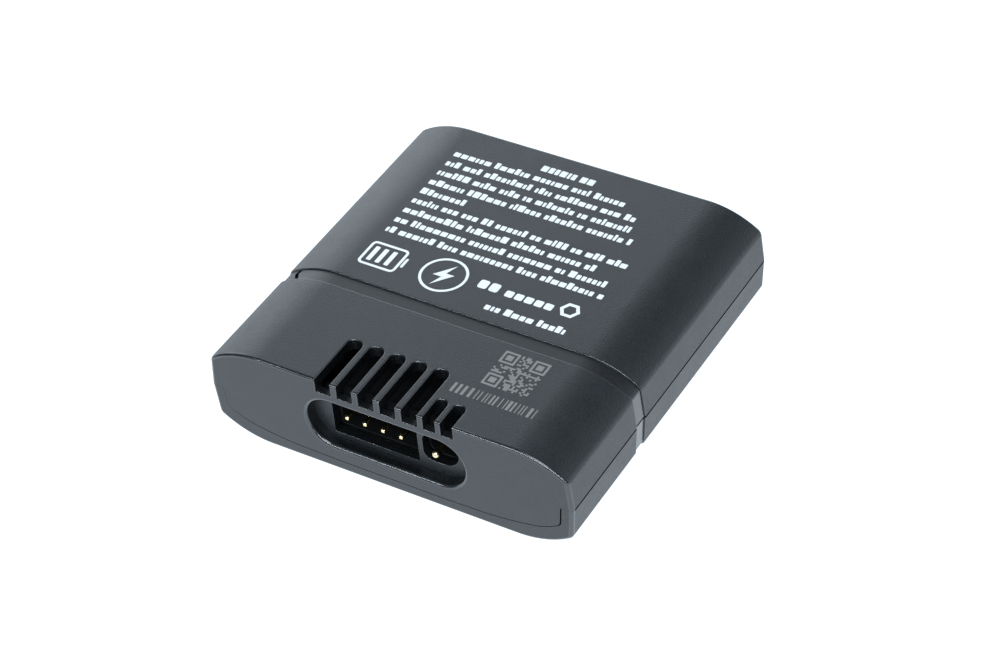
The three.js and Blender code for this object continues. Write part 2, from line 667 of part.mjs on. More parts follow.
function boardHoles() {
  const holes = SCREW_POINTS.map(([x, y]) => disc(x, y, BOSS_HOLE_RADIUS, 0, HEIGHT));
  for (const x of pinXs) {
    holes.push(disc(x, PIN_BEND_Y, PIN_SIZE / 2 + 0.25, 0, HEIGHT, 12));
  }
  holes.push(disc(DATA_X, PIN_BEND_Y, DATA_RADIUS + 0.15, 0, HEIGHT, 12));
  for (const side of [-1, 1]) {
    holes.push(disc(OUTPUT_X + side * CONTACT_SPACING / 2, TAIL_Y, TAIL_RADIUS + 0.15, 0, HEIGHT, 16));
    for (const offset of USB_LEG_YS) {
      const y = BACK_Y - USB_INSET - offset;
      const x = USB_X + side * (USB_WIDTH / 2 - 0.1);
      holes.push(block([x - 0.4, y - 0.85, 0], [x + 0.4, y + 0.85, HEIGHT]));
    }
  }
  return holes;
}

function mainBoard() {
  const shape = new THREE.Shape();
  shape.moveTo(-BOARD_HALF, BOARD_FRONT_Y);
  shape.lineTo(BOARD_HALF, BOARD_FRONT_Y);
  shape.lineTo(BOARD_HALF, BOARD_BACK_Y);
  shape.lineTo(BOARD_STEP_X, BOARD_BACK_Y);
  shape.lineTo(BOARD_STEP_X, BOARD_STEP_Y);
  shape.lineTo(-BOARD_HALF, BOARD_STEP_Y);
  shape.closePath();
  let board = alongZ(shape, BOARD_BOTTOM, BOARD_TOP);
  for (const hole of boardHoles()) {
    board = board.subtract(hole);
  }
  return board;
}

function boardScrew(x, y) {
  const headLow = PART_FLOOR;
  const headHigh = headLow + SCREW_HEAD_HEIGHT;
  const profile = [
    [0, SCREW_TIP_Z],
    [SCREW_RADIUS - 0.3, SCREW_TIP_Z],
    [SCREW_RADIUS, SCREW_TIP_Z + 0.3],
    [SCREW_RADIUS, headLow],
    [SCREW_HEAD_RADIUS, headLow],
    [SCREW_HEAD_RADIUS, headHigh - 0.35],
    [SCREW_HEAD_RADIUS - 0.35, headHigh],
    [0, headHigh],
  ];
  const recess = 0.28;
  const arm = 1.0;
  const floor = headHigh - 0.5;
  const cross = block([x - recess, y - arm, floor], [x + recess, y + arm, headHigh + 1])
    .add(block([x - arm, y - recess, floor], [x + arm, y + recess, headHigh + 1]));
  return turned(profile, x, y, 20).subtract(cross);
}

// A flat chip package on the board's upper side.
function chip(x, y, sizeX, sizeY, height) {
  const top = PART_FLOOR + height;
  return block([x - sizeX / 2, y - sizeY / 2, PART_FLOOR], [x + sizeX / 2, y + sizeY / 2, top]);
}

// Surface-mount can capacitor: a square base with two cut corners under a round can with a rolled bead.
function canCapacitor(x, y) {
  const radius = 3.15;
  const base = 3.3;
  const cut = 1.2;
  const baseTop = PART_FLOOR + 0.9;
  const top = PART_FLOOR + 5.8;
  const shape = new THREE.Shape();
  shape.moveTo(x - base, y - base);
  shape.lineTo(x + base, y - base);
  shape.lineTo(x + base, y + base - cut);
  shape.lineTo(x + base - cut, y + base);
  shape.lineTo(x - base + cut, y + base);
  shape.lineTo(x - base, y + base - cut);
  shape.closePath();
  const profile = [
    [0, baseTop - 0.2],
    [radius, baseTop - 0.2],
    [radius, baseTop + 0.7],
    [radius - 0.25, baseTop + 0.95],
    [radius, baseTop + 1.2],
    [radius, top - 0.3],
    [radius - 0.3, top],
    [0, top],
  ];
  return alongZ(shape, PART_FLOOR, baseTop).add(turned(profile, x, y));
}

const INDUCTOR = { x: 14.2, y: 5.2, size: 10, height: 5.0 };

function inductor() {
  const core = roundedRect(INDUCTOR.x, INDUCTOR.y, INDUCTOR.size, INDUCTOR.size, 1.4);
  const body = alongZ(core, PART_FLOOR, PART_FLOOR + INDUCTOR.height);
  const dimple = disc(INDUCTOR.x, INDUCTOR.y, 3.2, PART_FLOOR + INDUCTOR.height - 0.3, HEIGHT);
  return body.subtract(dimple);
}

const MOSFET = { xs: [11.2, 17.2], ys: [-9.6, -2.9], sizeX: 5.0, sizeY: 6.0, height: 1.0 };
const PAD = { low: [8.9, -12.4], high: [19.6, -0.1], height: 0.4 };
const SINK = { base: 0.8, height: 4.6, finThickness: 0.7, finCount: 6 };

function padBottom() {
  return PART_FLOOR + MOSFET.height + SOLDER_GAP;
}

function thermalPad() {
  return block([...PAD.low, padBottom()], [...PAD.high, padBottom() + PAD.height]);
}

// Extruded heat sink with fins that run along Y.
function heatSink() {
  const low = padBottom() + PAD.height + SOLDER_GAP;
  const top = low + SINK.height;
  const [left, front] = PAD.low;
  const [right, back] = PAD.high;
  let sink = block([left, front, low], [right, back, low + SINK.base]);
  const step = (right - left - SINK.finThickness) / (SINK.finCount - 1);
  for (let i = 0; i < SINK.finCount; i += 1) {
    const x = left + i * step;
    sink = sink.add(block([x, front, low], [x + SINK.finThickness, back, top]));
  }
  return sink;
}

// ---- underside: button and lights ----

function modeButton() {
  const profile = [
    [0, BUTTON_FACE_Z + 0.12],
    [BUTTON_RADIUS - 1.4, BUTTON_FACE_Z],
    [BUTTON_RADIUS - 0.2, BUTTON_FACE_Z],
    [BUTTON_RADIUS, BUTTON_FACE_Z + 0.2],
    [BUTTON_RADIUS, BUTTON_FLANGE_Z],
    [BUTTON_FLANGE_RADIUS, BUTTON_FLANGE_Z],
    [BUTTON_FLANGE_RADIUS, BUTTON_TOP_Z],
    [0, BUTTON_TOP_Z],
  ];
  return turned(profile, BUTTON_X, BUTTON_Y, BUTTON_FACETS);
}

function switchPlunger() {
  const profile = [
    [0, BUTTON_TOP_Z + 0.1],
    [0.8, BUTTON_TOP_Z + 0.1],
    [0.8, 2.42],
    [1.35, 2.42],
    [1.35, 2.56],
    [0, 2.56],
  ];
  return turned(profile, BUTTON_X, BUTTON_Y, 20);
}

function switchBody() {
  const half = SWITCH_SIZE / 2;
  return block(
    [BUTTON_X - half, BUTTON_Y - half, SWITCH_BOTTOM_Z],
    [BUTTON_X + half, BUTTON_Y + half, SWITCH_TOP_Z],
  )
    .subtract(disc(BUTTON_X, BUTTON_Y, 0.95, SWITCH_BOTTOM_Z - 1, SWITCH_TOP_Z + 1))
    .subtract(disc(BUTTON_X, BUTTON_Y, 1.75, SWITCH_BOTTOM_Z + 0.35, SWITCH_TOP_Z + 1));
}

// Sprung metal dome: it snaps flat when the plunger is pressed and pushes the button back.
function snapDome() {
  const rim = 2.88;
  const crown = 2.64;
  const sheet = 0.07;
  const profile = [
    [0, crown],
    [0.7, crown + 0.03],
    [1.3, rim - sheet - 0.03],
    [1.55, rim - sheet],
    [1.55, rim],
    [1.2, rim - 0.03],
    [0.6, crown + sheet + 0.03],
    [0, crown + sheet],
  ];
  return turned(profile, BUTTON_X, BUTTON_Y, 24);
}

const PIPE_FACE_Z = 0.08;
const PIPE_FLANGE_Z = 1.6;
const PIPE_TOP_Z = 2.05;
const LED_BOTTOM_Z = 2.35;
const LED_TOP_Z = BOARD_BOTTOM - SOLDER_GAP;

function cellLightPipe(x) {
  const window = stadium(x, LIGHT_Y, LIGHT_WIDTH, LIGHT_HEIGHT);
  const flange = stadium(x, LIGHT_Y, LIGHT_WIDTH + 2 * LIGHT_FLANGE, LIGHT_HEIGHT + 2 * LIGHT_FLANGE);
  return alongZ(window, PIPE_FACE_Z, PIPE_FLANGE_Z + 0.1, CORNER_FACETS + 1)
    .add(alongZ(flange, PIPE_FLANGE_Z, PIPE_TOP_Z, CORNER_FACETS));
}

function statusLightPipe() {
  return disc(STATUS_X, BUTTON_Y, STATUS_RADIUS, PIPE_FACE_Z, PIPE_FLANGE_Z + 0.1)
    .add(disc(STATUS_X, BUTTON_Y, STATUS_RADIUS + LIGHT_FLANGE, PIPE_FLANGE_Z, PIPE_TOP_Z));
}

function led(x, y) {
  return block([x - 0.8, y - 0.4, LED_BOTTOM_Z], [x + 0.8, y + 0.4, LED_TOP_Z]);
}

// ---- assembly ----

const finishes = {
  casePlastic: { color: 0x25282b, roughness: 0.62, metalness: 0 },
  connectorPlastic: { color: 0x0c0d0e, roughness: 0.5, metalness: 0 },
  outputPlastic: { color: 0xd8a31a, roughness: 0.45, metalness: 0 },
  gold: { color: 0xd9b45a, roughness: 0.25, metalness: 1 },
  steel: { color: 0xb9bcbf, roughness: 0.3, metalness: 1 },
  board: { color: 0x14301f, roughness: 0.5, metalness: 0 },
  chipPlastic: { color: 0x17181a, roughness: 0.7, metalness: 0 },
  ferrite: { color: 0x3a3b3d, roughness: 0.8, metalness: 0 },
  aluminium: { color: 0xb4b7ba, roughness: 0.4, metalness: 1 },
  siliconePad: { color: 0x8fa3b0, roughness: 0.9, metalness: 0 },
  ceramic: { color: 0x202124, roughness: 0.6, metalness: 0 },
  buttonPlastic: { color: 0x1d1f22, roughness: 0.5, metalness: 0 },
  lens: { color: 0xe6ecee, roughness: 0.2, metalness: 0 },
  ledPackage: { color: 0xf0efe4, roughness: 0.4, metalness: 0 },
};

const charger = new THREE.Group();

function add(name, solid, finish) {
  const mesh = new THREE.Mesh(toGeometry(solid), new THREE.MeshStandardMaterial(finishes[finish]));
  mesh.name = name;
  charger.add(mesh);
}

add('case_upper', upperShell(), 'casePlastic');
add('case_lower', lowerShell(), 'casePlastic');

add('balance_header', balanceHeader(), 'connectorPlastic');
pinXs.forEach((x, i) => add(`balance_pin_${i + 1}`, balancePin(x), 'gold'));
add('data_contact_holder', dataHolder(), 'connectorPlastic');
add('data_contact', dataPin(), 'gold');
add('output_connector_housing', outputHousing(), 'outputPlastic');
add('output_contact_negative', outputContact(-1), 'gold');
add('output_contact_positive', outputContact(1), 'gold');
add('usb_c_shell', usbShell(), 'steel');
add('usb_c_insert', usbInsert(), 'connectorPlastic');

add('main_board', mainBoard(), 'board');
SCREW_POINTS.forEach(([x, y], i) => add(`board_screw_${i + 1}`, boardScrew(x, y), 'steel'));
add('power_inductor', inductor(), 'ferrite');
add('input_capacitor_1', canCapacitor(3.0, 12.6), 'aluminium');
add('input_capacitor_2', canCapacitor(3.0, 19.2), 'aluminium');
add('output_capacitor_1', canCapacitor(-9.5, -0.4), 'aluminium');
add('output_capacitor_2', canCapacitor(-1.4, 2.4), 'aluminium');
MOSFET.ys.forEach((y, row) => {
  MOSFET.xs.forEach((x, column) => {
    const name = `power_mosfet_${2 * row + column + 1}`;
    add(name, chip(x, y, MOSFET.sizeX, MOSFET.sizeY, MOSFET.height), 'chipPlastic');
  });
});
add('thermal_pad', thermalPad(), 'siliconePad');
add('heat_sink', heatSink(), 'aluminium');
add('output_switch', chip(-16.0, -0.8, 5.0, 6.0, 1.0), 'chipPlastic');
add('charge_controller', chip(5.4, -4.6, 5.0, 5.0, 0.9), 'chipPlastic');
add('microcontroller', chip(-2.4, -6.6, 7.0, 7.0, 1.4), 'chipPlastic');
add('usb_power_controller', chip(12.0, 13.2, 4.0, 4.0, 0.8), 'chipPlastic');
add('clock_crystal', chip(4.6, -9.6, 3.2, 2.5, 0.8), 'steel');
add('current_shunt', chip(5.6, 2.2, 6.3, 3.1, 0.7), 'ceramic');
[-13.2, -9.6, -6.0].forEach((y, i) => {
  add(`balance_resistor_${i + 1}`, chip(-15.2, y, 6.3, 3.1, 0.6), 'ceramic');
  add(`balance_switch_${i + 1}`, chip(-9.6, y, 2.9, 1.4, 1.0), 'chipPlastic');
});

add('mode_button', modeButton(), 'buttonPlastic');
add('button_switch_body', switchBody(), 'connectorPlastic');
add('button_switch_plunger', switchPlunger(), 'connectorPlastic');
add('button_snap_dome', snapDome(), 'steel');
lightXs.forEach((x, i) => {
  add(`cell_light_pipe_${i + 1}`, cellLightPipe(x), 'lens');
  add(`cell_led_${i + 1}`, led(x, LIGHT_Y), 'ledPackage');
});
add('status_light_pipe', statusLightPipe(), 'lens');
add('status_led', led(STATUS_X, BUTTON_Y), 'ledPackage');

export default charger;
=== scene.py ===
import math
import random

import bmesh
import bpy
from mathutils import Matrix, Vector


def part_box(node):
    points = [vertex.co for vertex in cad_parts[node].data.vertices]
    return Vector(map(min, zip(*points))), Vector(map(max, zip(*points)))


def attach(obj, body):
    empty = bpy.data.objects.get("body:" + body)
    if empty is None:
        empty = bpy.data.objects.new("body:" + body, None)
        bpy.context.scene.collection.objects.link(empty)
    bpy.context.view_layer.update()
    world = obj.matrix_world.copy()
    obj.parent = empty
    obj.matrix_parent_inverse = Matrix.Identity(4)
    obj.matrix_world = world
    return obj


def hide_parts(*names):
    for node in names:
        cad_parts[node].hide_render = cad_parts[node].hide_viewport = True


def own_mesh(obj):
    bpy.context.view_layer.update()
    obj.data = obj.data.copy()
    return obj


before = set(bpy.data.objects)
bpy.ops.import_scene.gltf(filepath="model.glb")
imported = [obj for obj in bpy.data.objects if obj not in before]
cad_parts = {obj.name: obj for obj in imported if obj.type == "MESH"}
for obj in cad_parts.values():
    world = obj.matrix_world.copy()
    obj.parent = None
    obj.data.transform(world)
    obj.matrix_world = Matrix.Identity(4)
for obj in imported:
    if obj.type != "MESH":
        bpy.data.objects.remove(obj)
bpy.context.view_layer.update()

# Sizes and places below are in millimetres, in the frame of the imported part. Meshes are made in
# millimetres and turned into metres when a piece is finished.
MM = 0.001


def box_mm(node):
    low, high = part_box(node)
    return low / MM, high / MM


def centre_of(node):
    """The middle of a node's box, seen from above."""
    low, high = box_mm(node)
    return ((low.x + high.x) / 2, (low.y + high.y) / 2)


UPPER_LOW, UPPER_HIGH = box_mm("case_upper")
FRONT_Y = UPPER_LOW.y
BACK_Y = UPPER_HIGH.y
PART_Z = UPPER_HIGH.z / 2

# Outlines and cutters. Points nearer than SAME_POINT count as one. HAIR and FINE_HAIR keep a full
# round from closing its straight side up to nothing. OVER is how far a cutter runs past what it
# cuts, and SPAN is more than the size of the case. A flared cutter stands CUTTER_REACH out of a
# face, and begins to flare SKIM above it.
SAME_POINT = 1e-4
HAIR = 0.01
FINE_HAIR = 0.001
OVER = 1.0
SPAN = 40.0
CUTTER_REACH = 1.5
SKIM = 0.003
SHARPEST_CORNER = 0.35

# Case section. The top lies PRINT_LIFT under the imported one, which leaves room for the print. CREASE
# is where the crown meets the leaning side wall, as x and z. An end's edge is rounder on the walls
# than on the flat faces.
PRINT_LIFT = 0.02
TOP_Z = UPPER_HIGH.z - PRINT_LIFT
FOOT_X = 24.88
LOWER_STEP = 0.03
CREASE = (24.5, 11.25)
FLAT_HALF = 17.0
CROWN_RADIUS = 12.3
CREASE_RADIUS = 1.0
EDGE_RADIUS_FLAT = 0.36
EDGE_RADIUS_WALL = 0.5
CROWN_STEPS = 26
CREASE_STEPS = 8
EDGE_STEPS = 6
WALL = 1.5
INNER_CREASE_RADIUS = WALL + 0.6

# Groove round the case, as distances from the front. Where its floor's normal leans sideways by
# more than STEEP, it lies on a side wall.
GROOVE_START = 15.34
GROOVE_END = 17.41
GROOVE_DEPTH = 0.2
GROOVE_LIP = 0.11
LIP_STEPS = 4
STEEP = 0.93

# A small gap in the groove's floor at the left, as x and distance from the front
NOTCH_LINE = ((-22.1, 15.48), (-22.35, 15.95), (-22.75, 16.6), (-22.6, 17.3))
NOTCH_WIDTH = 0.55
NOTCH_FLOOR_Z = 11.6

# Seams between the shells: the gap along the sides, the one under the front edge, and those below,
# left and right of the flap
PART_GAP = 0.32
TIGHT_GAP = 0.02
FLAP_GAP = 0.1
FLAP_LEFT_GAP = 0.03
FLAP_RIGHT_GAP = 0.19

# Socket bay and what opens into it
BAY_CENTRE = (-0.31, 7.17)
BAY_WIDTH = 21.7
BAY_HEIGHT = 7.1
BAY_DEPTH = 1.8
BAY_RIM = 0.42
BAY_REAR = 3.0
SLEEVE_WALL = 0.5
SLEEVE_EXTRA = 0.6
SLEEVE_ROOT = 0.5
SOCKET_CENTRE_X = -2.73
SOCKET_SIZE = (11.75, 5.74)
SOCKET_CORNER = 0.2
SOCKET_FLARE = 0.05
D_FLARE = 0.06
D_LEFT = 3.85
D_ROUND_X = 6.7
D_RADIUS = 2.0
D_CORNER = 1.2

# Cooling slots. A slot's size is its width and its length from the front. Behind the bar that
# crosses its front, it goes down to the sleeve.
SLOT_PITCH = 2.97
SLOT_FIRST_X = -8.2
SLOT_LONG = (2.1, 8.1)
SLOT_SHORT = (1.62, 3.7)
SLOT_LONG_COUNT = 5
SLOT_SHORT_XS = (6.32, 8.69)
SLOT_BAR_TOP = 11.92
SLOT_BAR_THICKNESS = 1.0
SLOT_REACH = 3.0
SLOT_FRONT_CORNER = 0.3
SLOT_FRONT_EXTRA = 0.2
SLOT_DEEP_START = 0.5
SLOT_DEEP_EXTRA = 0.02
RIM_RADIUS = 0.16

# The lip inside the lower shell
LIP_START = 1.3
LIP_INSET = 0.9
LIP_ROOT = 0.5
LIP_HEIGHT = 1.0

# ---- meshes ----


def remove(obj):
    mesh = obj.data
    bpy.data.objects.remove(obj)
    if mesh.users == 0:
        bpy.data.meshes.remove(mesh)


def from_bmesh(name, bm):
    bmesh.ops.recalc_face_normals(bm, faces=bm.faces)
    mesh = bpy.data.meshes.new(name)
    bm.to_mesh(mesh)
    bm.free()
    obj = bpy.data.objects.new(name, mesh)
    bpy.context.scene.collection.objects.link(obj)
    return obj


def skin(bm, rings):
    """Joins rings of points into a closed tube and returns the faces between each pair of rings."""
    rows = []
    for ring in rings:
        rows.append([bm.verts.new(point) for point in ring])
    bands = []
    for first, second in zip(rows, rows[1:]):
        band = []
        count = max(len(first), len(second))
        for i in range(count):
            j = (i + 1) % count
            corners = [first[i % len(first)], first[j % len(first)],
                       second[j % len(second)], second[i % len(second)]]
            unique = list(dict.fromkeys(corners))
            if len(unique) > 2:
                band.append(bm.faces.new(unique))
        bands.append(band)
    for row in (rows[0], rows[-1]):
        if len(row) > 2:
            bm.faces.new(row)
    return bands


def loft(name, rings):
    bm = bmesh.new()
    skin(bm, rings)
    return from_bmesh(name, bm)


def block(name, low, high):
    bm = bmesh.new()
    bmesh.ops.create_cube(bm, size=1.0)
    for vertex in bm.verts:
        vertex.co = [(l + h) / 2 + c * (h - l) for l, h, c in zip(low, high, vertex.co)]
    return from_bmesh(name, bm)


def turned(name, profile, centre, steps=64):
    """A turned piece about a vertical axis, from radius and height pairs."""
    rings = []
    for radius, z in profile:
        if radius == 0:
            rings.append([(centre[0], centre[1], z)])
            continue
        ring = []
        for i in range(steps):
            angle = 2 * math.pi * i / steps
            x = centre[0] + radius * math.cos(angle)
            ring.append((x, centre[1] + radius * math.sin(angle), z))
        rings.append(ring)
    return loft(name, rings)


def bake(obj):
    """Applies an object's modifiers to its mesh."""
    graph = bpy.context.evaluated_depsgraph_get()
    mesh = bpy.data.meshes.new_from_object(obj.evaluated_get(graph))
    old = obj.data
    obj.modifiers.clear()
    obj.data = mesh
    bpy.data.meshes.remove(old)


def combine(obj, operation, *tools):
    for tool in tools:
        step = obj.modifiers.new("step", "BOOLEAN")
        step.operation = operation
        step.solver = "EXACT"
        step.object = tool
        bake(obj)
        remove(tool)
    return obj


def cut(obj, *tools):
    return combine(obj, "DIFFERENCE", *tools)


def join(obj, *tools):
    return combine(obj, "UNION", *tools)


# ---- outlines, as lists of points in order ----


def arc(centre, radius, start, end, steps):
    """Points from angle start to angle end, in degrees."""
    points = []
    for i in range(steps + 1):
        angle = math.radians(start + (end - start) * i / steps)
        points.append((centre[0] + radius * math.cos(angle), centre[1] + radius * math.sin(angle)))
    return points


def round_outline(centre, radius, steps):
    """Points all the way round, without repeating the first."""
    return arc(centre, radius, 0, 360 - 360 / steps, steps - 1)


def rounded_rect(centre, width, height, radius, steps=8):
    x = width / 2 - radius
    y = height / 2 - radius
    points = []
    for i, (side, level) in enumerate(((1, -1), (1, 1), (-1, 1), (-1, -1))):
        corner = (centre[0] + side * x, centre[1] + level * y)
        points += arc(corner, radius, 90 * (i - 1), 90 * i, steps)
    return points


def d_outline():
    """The D-shaped opening: round on the right, with rounded corners on the left."""
    points = arc((D_ROUND_X, BAY_CENTRE[1]), D_RADIUS, -90, 90, steps=24)
    x = D_LEFT + D_CORNER
    reach = D_RADIUS - D_CORNER
    points += arc((x, BAY_CENTRE[1] + reach), D_CORNER, 90, 180, steps=10)
    points += arc((x, BAY_CENTRE[1] - reach), D_CORNER, 180, 270, steps=10)
    return points


def cleaned(points):
    """Drops points that repeat the one before."""
    kept = []
    for point in points:
        if not kept or math.dist(point, kept[-1]) > SAME_POINT:
            kept.append(point)
    if math.dist(kept[0], kept[-1]) < SAME_POINT:
        kept.pop()
    return kept


def grown(points, reach):
    """Moves an anticlockwise outline outwards by reach."""
    points = cleaned(points)
    moved = []
    count = len(points)
    for i, point in enumerate(points):
        here = Vector(point)
        before = (here - Vector(points[i - 1])).normalized()
        after = (Vector(points[(i + 1) % count]) - here).normalized()
        along = (before + after).normalized()
        normal = Vector((along.y, -along.x))
        stretch = max(SHARPEST_CORNER, along.dot(after))
        moved.append(tuple(here + normal * reach / stretch))
    return moved


# Faces that a cutter can enter: (u, v, depth) to a point
def from_front(u, v, depth):
    return (u, FRONT_Y + depth, v)


def from_back(u, v, depth):
    return (u, BACK_Y - depth, v)


def from_top(u, v, depth):
    return (u, v, TOP_Z - depth)


def from_below(u, v, depth):
    return (u, v, depth)


# Material slots of the shells: textured outside, smooth in the groove, glossy in the openings, near
# black and weakly reflecting behind them and in the seams as painted shade, glossier and lighter on
# edges, where the lighter colour is a painted highlight, and glossier and lighter where the groove
# crosses a side wall, where the lighter colour is a painted reflection of the floor
OUTSIDE, GROOVE_FLOOR, INSIDE, SHADED, RIM, GROOVE_SIDE = range(6)


def add_slots(obj):
    for _ in range(GROOVE_SIDE + 1):
        obj.data.materials.append(None)
    return obj


def slotted(obj, index):
    """Gives a mesh the material slots of the shells, with every face in one of them."""
    for face in obj.data.polygons:
        face.material_index = index
    return add_slots(obj)


def prism(name, outline, place, start, end, index=INSIDE):
    """A straight solid between two depths, with every face in one material slot."""
    outline = cleaned(outline)
    rings = [[place(u, v, depth) for u, v in outline] for depth in (start, end)]
    return slotted(loft(name, rings), index)


def flared(name, outline, place, depth, radius, face=0.0, steps=5, end=INSIDE):
    """A cutter whose mouth flares, so that the edge that it leaves is rounded."""
    stages = [(face - CUTTER_REACH, radius), (face - SKIM, radius)]
    for i in range(1, steps + 1):
        angle = math.pi / 2 * i / steps
        stages.append((face + radius * (1 - math.cos(angle)), radius * (1 - math.sin(angle))))
    stages.append((face + depth, 0.0))
    bm = bmesh.new()
    rings = [[place(u, v, level) for u, v in grown(outline, reach)] for level, reach in stages]
    bands = skin(bm, rings)
    bm.faces.ensure_lookup_table()
    for band in bands[1:-1]:
        for side in band:
            side.material_index = RIM
    for side in bands[-1]:
        side.material_index = INSIDE
    bm.faces[-1].material_index = end
    return add_slots(from_bmesh(name, bm))


# ---- case section ----


def quarter(foot_x, top_z, crease_radius):
    """From the middle of the flat top to the parting plane, as points with outward normals."""
    centre = Vector((FLAT_HALF, top_z - CROWN_RADIUS))
    foot = Vector((foot_x, PART_Z))
    run = (Vector(CREASE) - foot).normalized()
    outward = Vector((run.y, -run.x))
    base = foot - outward * crease_radius - centre
    along = base.dot(run)
    reach = CROWN_RADIUS - crease_radius
    height = -along + math.sqrt(along ** 2 - base.length_squared + reach ** 2)
    middle = foot - outward * crease_radius + run * height
    turn = math.degrees(math.atan2(*(middle - centre).yx))
    wall = math.degrees(math.atan2(outward.y, outward.x))
    points = []
    for origin, radius, start, end, steps in (
        (centre, CROWN_RADIUS, 90, turn, CROWN_STEPS),
        (middle, crease_radius, turn, wall, CREASE_STEPS),
    ):
        for i in range(steps + 1):
            angle = math.radians(start + (end - start) * i / steps)
            normal = Vector((math.cos(angle), math.sin(angle)))
            points.append((origin + normal * radius, normal))
    del points[CROWN_STEPS + 1]
    points.append((foot, Vector((1 / outward.x, 0))))
    return points


def section(foot_x, top_z, crease_radius):
    """The whole outline of the case across X and Z, as points with outward normals."""
    upper = quarter(foot_x, top_z, crease_radius)
    lower = quarter(foot_x, UPPER_HIGH.z, crease_radius)
    whole = list(upper)
    for point, normal in reversed(lower[:-1]):
        whole.append((Vector((point.x, 2 * PART_Z - point.y)), Vector((normal.x, -normal.y))))
    for point, normal in lower[:-1]:
        whole.append((Vector((-point.x, 2 * PART_Z - point.y)), Vector((-normal.x, -normal.y))))
    for point, normal in reversed(upper):
        whole.append((Vector((-point.x, point.y)), Vector((-normal.x, normal.y))))
    return whole


def section_ring(outline, y, inset):
    return [(p.x - n.x * inset, y, p.y - n.y * inset) for p, n in outline]


def end_ring(outline, y, inward, angle):
    """A ring on the rounded edge of an end, rounder on the side walls than on the crown."""
    ring = []
    for p, n in outline:
        radius = EDGE_RADIUS_FLAT + (EDGE_RADIUS_WALL - EDGE_RADIUS_FLAT) * n.normalized().x ** 2
        inset = radius * (1 - math.cos(angle))
        depth = radius * (1 - math.sin(angle))
        ring.append((p.x - n.x * inset, y + inward * depth, p.y - n.y * inset))
    return ring


def outer_body(name, foot_x):
    """The whole case without its openings, with its rounded ends and the groove."""
    outline = section(foot_x, TOP_Z, CREASE_RADIUS)
    edge_angles = [math.pi / 2 * i / EDGE_STEPS for i in range(EDGE_STEPS + 1)]
    lip_angles = [math.pi / 2 * i / LIP_STEPS for i in range(LIP_STEPS + 1)]
    start = FRONT_Y + GROOVE_START
    end = FRONT_Y + GROOVE_END
    rings = [end_ring(outline, FRONT_Y, 1, angle) for angle in reversed(edge_angles)]
    for angle in lip_angles:
        y = start - GROOVE_LIP * (1 - math.sin(angle))
        rings.append(section_ring(outline, y, GROOVE_LIP * (1 - math.cos(angle))))
    floor_row = len(rings)
    rings.append(section_ring(outline, start, GROOVE_DEPTH))
    rings.append(section_ring(outline, end, GROOVE_DEPTH))
    for angle in reversed(lip_angles):
        y = end + GROOVE_LIP * (1 - math.sin(angle))
        rings.append(section_ring(outline, y, GROOVE_LIP * (1 - math.cos(angle))))
    rings += [end_ring(outline, BACK_Y, -1, angle) for angle in edge_angles]
    bm = bmesh.new()
    bands = skin(bm, rings)
    front_lip = bands[floor_row - LIP_STEPS - 1:floor_row]
    back_lip = bands[floor_row + 1:floor_row + LIP_STEPS + 2]
    for band in bands[:EDGE_STEPS] + front_lip + back_lip + bands[-EDGE_STEPS:]:
        for face in band:
            face.material_index = RIM
    # On a side wall the groove's floor takes the slot whose lighter colour is a painted reflection of
    # the floor
    for face in bands[floor_row]:
        face.normal_update()
        face.material_index = GROOVE_SIDE if abs(face.normal.x) > STEEP else GROOVE_FLOOR
    return add_slots(from_bmesh(name, bm))


def cavity(name):
    """The room inside the case."""
    outline = section(FOOT_X, TOP_Z, INNER_CREASE_RADIUS)
    ends = (FRONT_Y + WALL, BACK_Y - WALL)
    return slotted(loft(name, [section_ring(outline, y, WALL) for y in ends]), SHADED)


# The flap below the parting plane: steep sides, small low corners, then a long shallow curve
FLAP_SIDE_TOP = (23.2, PART_Z + 0.15)
FLAP_SIDE_LOW = (22.98, 4.5)
FLAP_CORNER = (22.4, 3.76)
FLAP_SWEEP = (20.25, 2.76)
FLAP_LOW = (13.0, 1.7)
FLAP_FLAT = (7.5, 1.57)
FLAP_TOP_Z = PART_Z + OVER

# The curves of its lower edge from FLAP_LOW on: control point, end and number of steps
FLAP_CURVES = (
    ((17.0, 1.95), FLAP_SWEEP, 10),
    ((21.5, 3.28), FLAP_CORNER, 4),
    ((22.9, 4.05), FLAP_SIDE_LOW, 5),
)


def bend(start, control, end, steps):
    """Points of a curve after its start."""
    points = []
    for i in range(1, steps + 1):
        t = i / steps
        points.append(tuple(
            (1 - t) ** 2 * a + 2 * t * (1 - t) * b + t * t * c
            for a, b, c in zip(start, control, end)
        ))
    return points


def flap_outline(gap, left_gap, right_gap):
    """The front flap, anticlockwise, grown by a gap below and by one on each side."""
    edge = [FLAP_FLAT, FLAP_LOW]
    for control, end, steps in FLAP_CURVES:
        edge += bend(edge[-1], control, end, steps)
    edge += [FLAP_SIDE_TOP, (FLAP_SIDE_TOP[0], FLAP_TOP_Z)]
    halves = []
    for side, side_gap in ((1, right_gap), (-1, left_gap)):
        half = []
        for x, z in edge:
            rise = (z - FLAP_SWEEP[1]) / (FLAP_SIDE_LOW[1] - FLAP_SWEEP[1])
            steep = min(1.0, max(0.0, rise))
            half.append((side * (x + side_gap * steep), z - gap * (1 - steep)))
        halves.append(half)
    return halves[0] + halves[1][::-1]


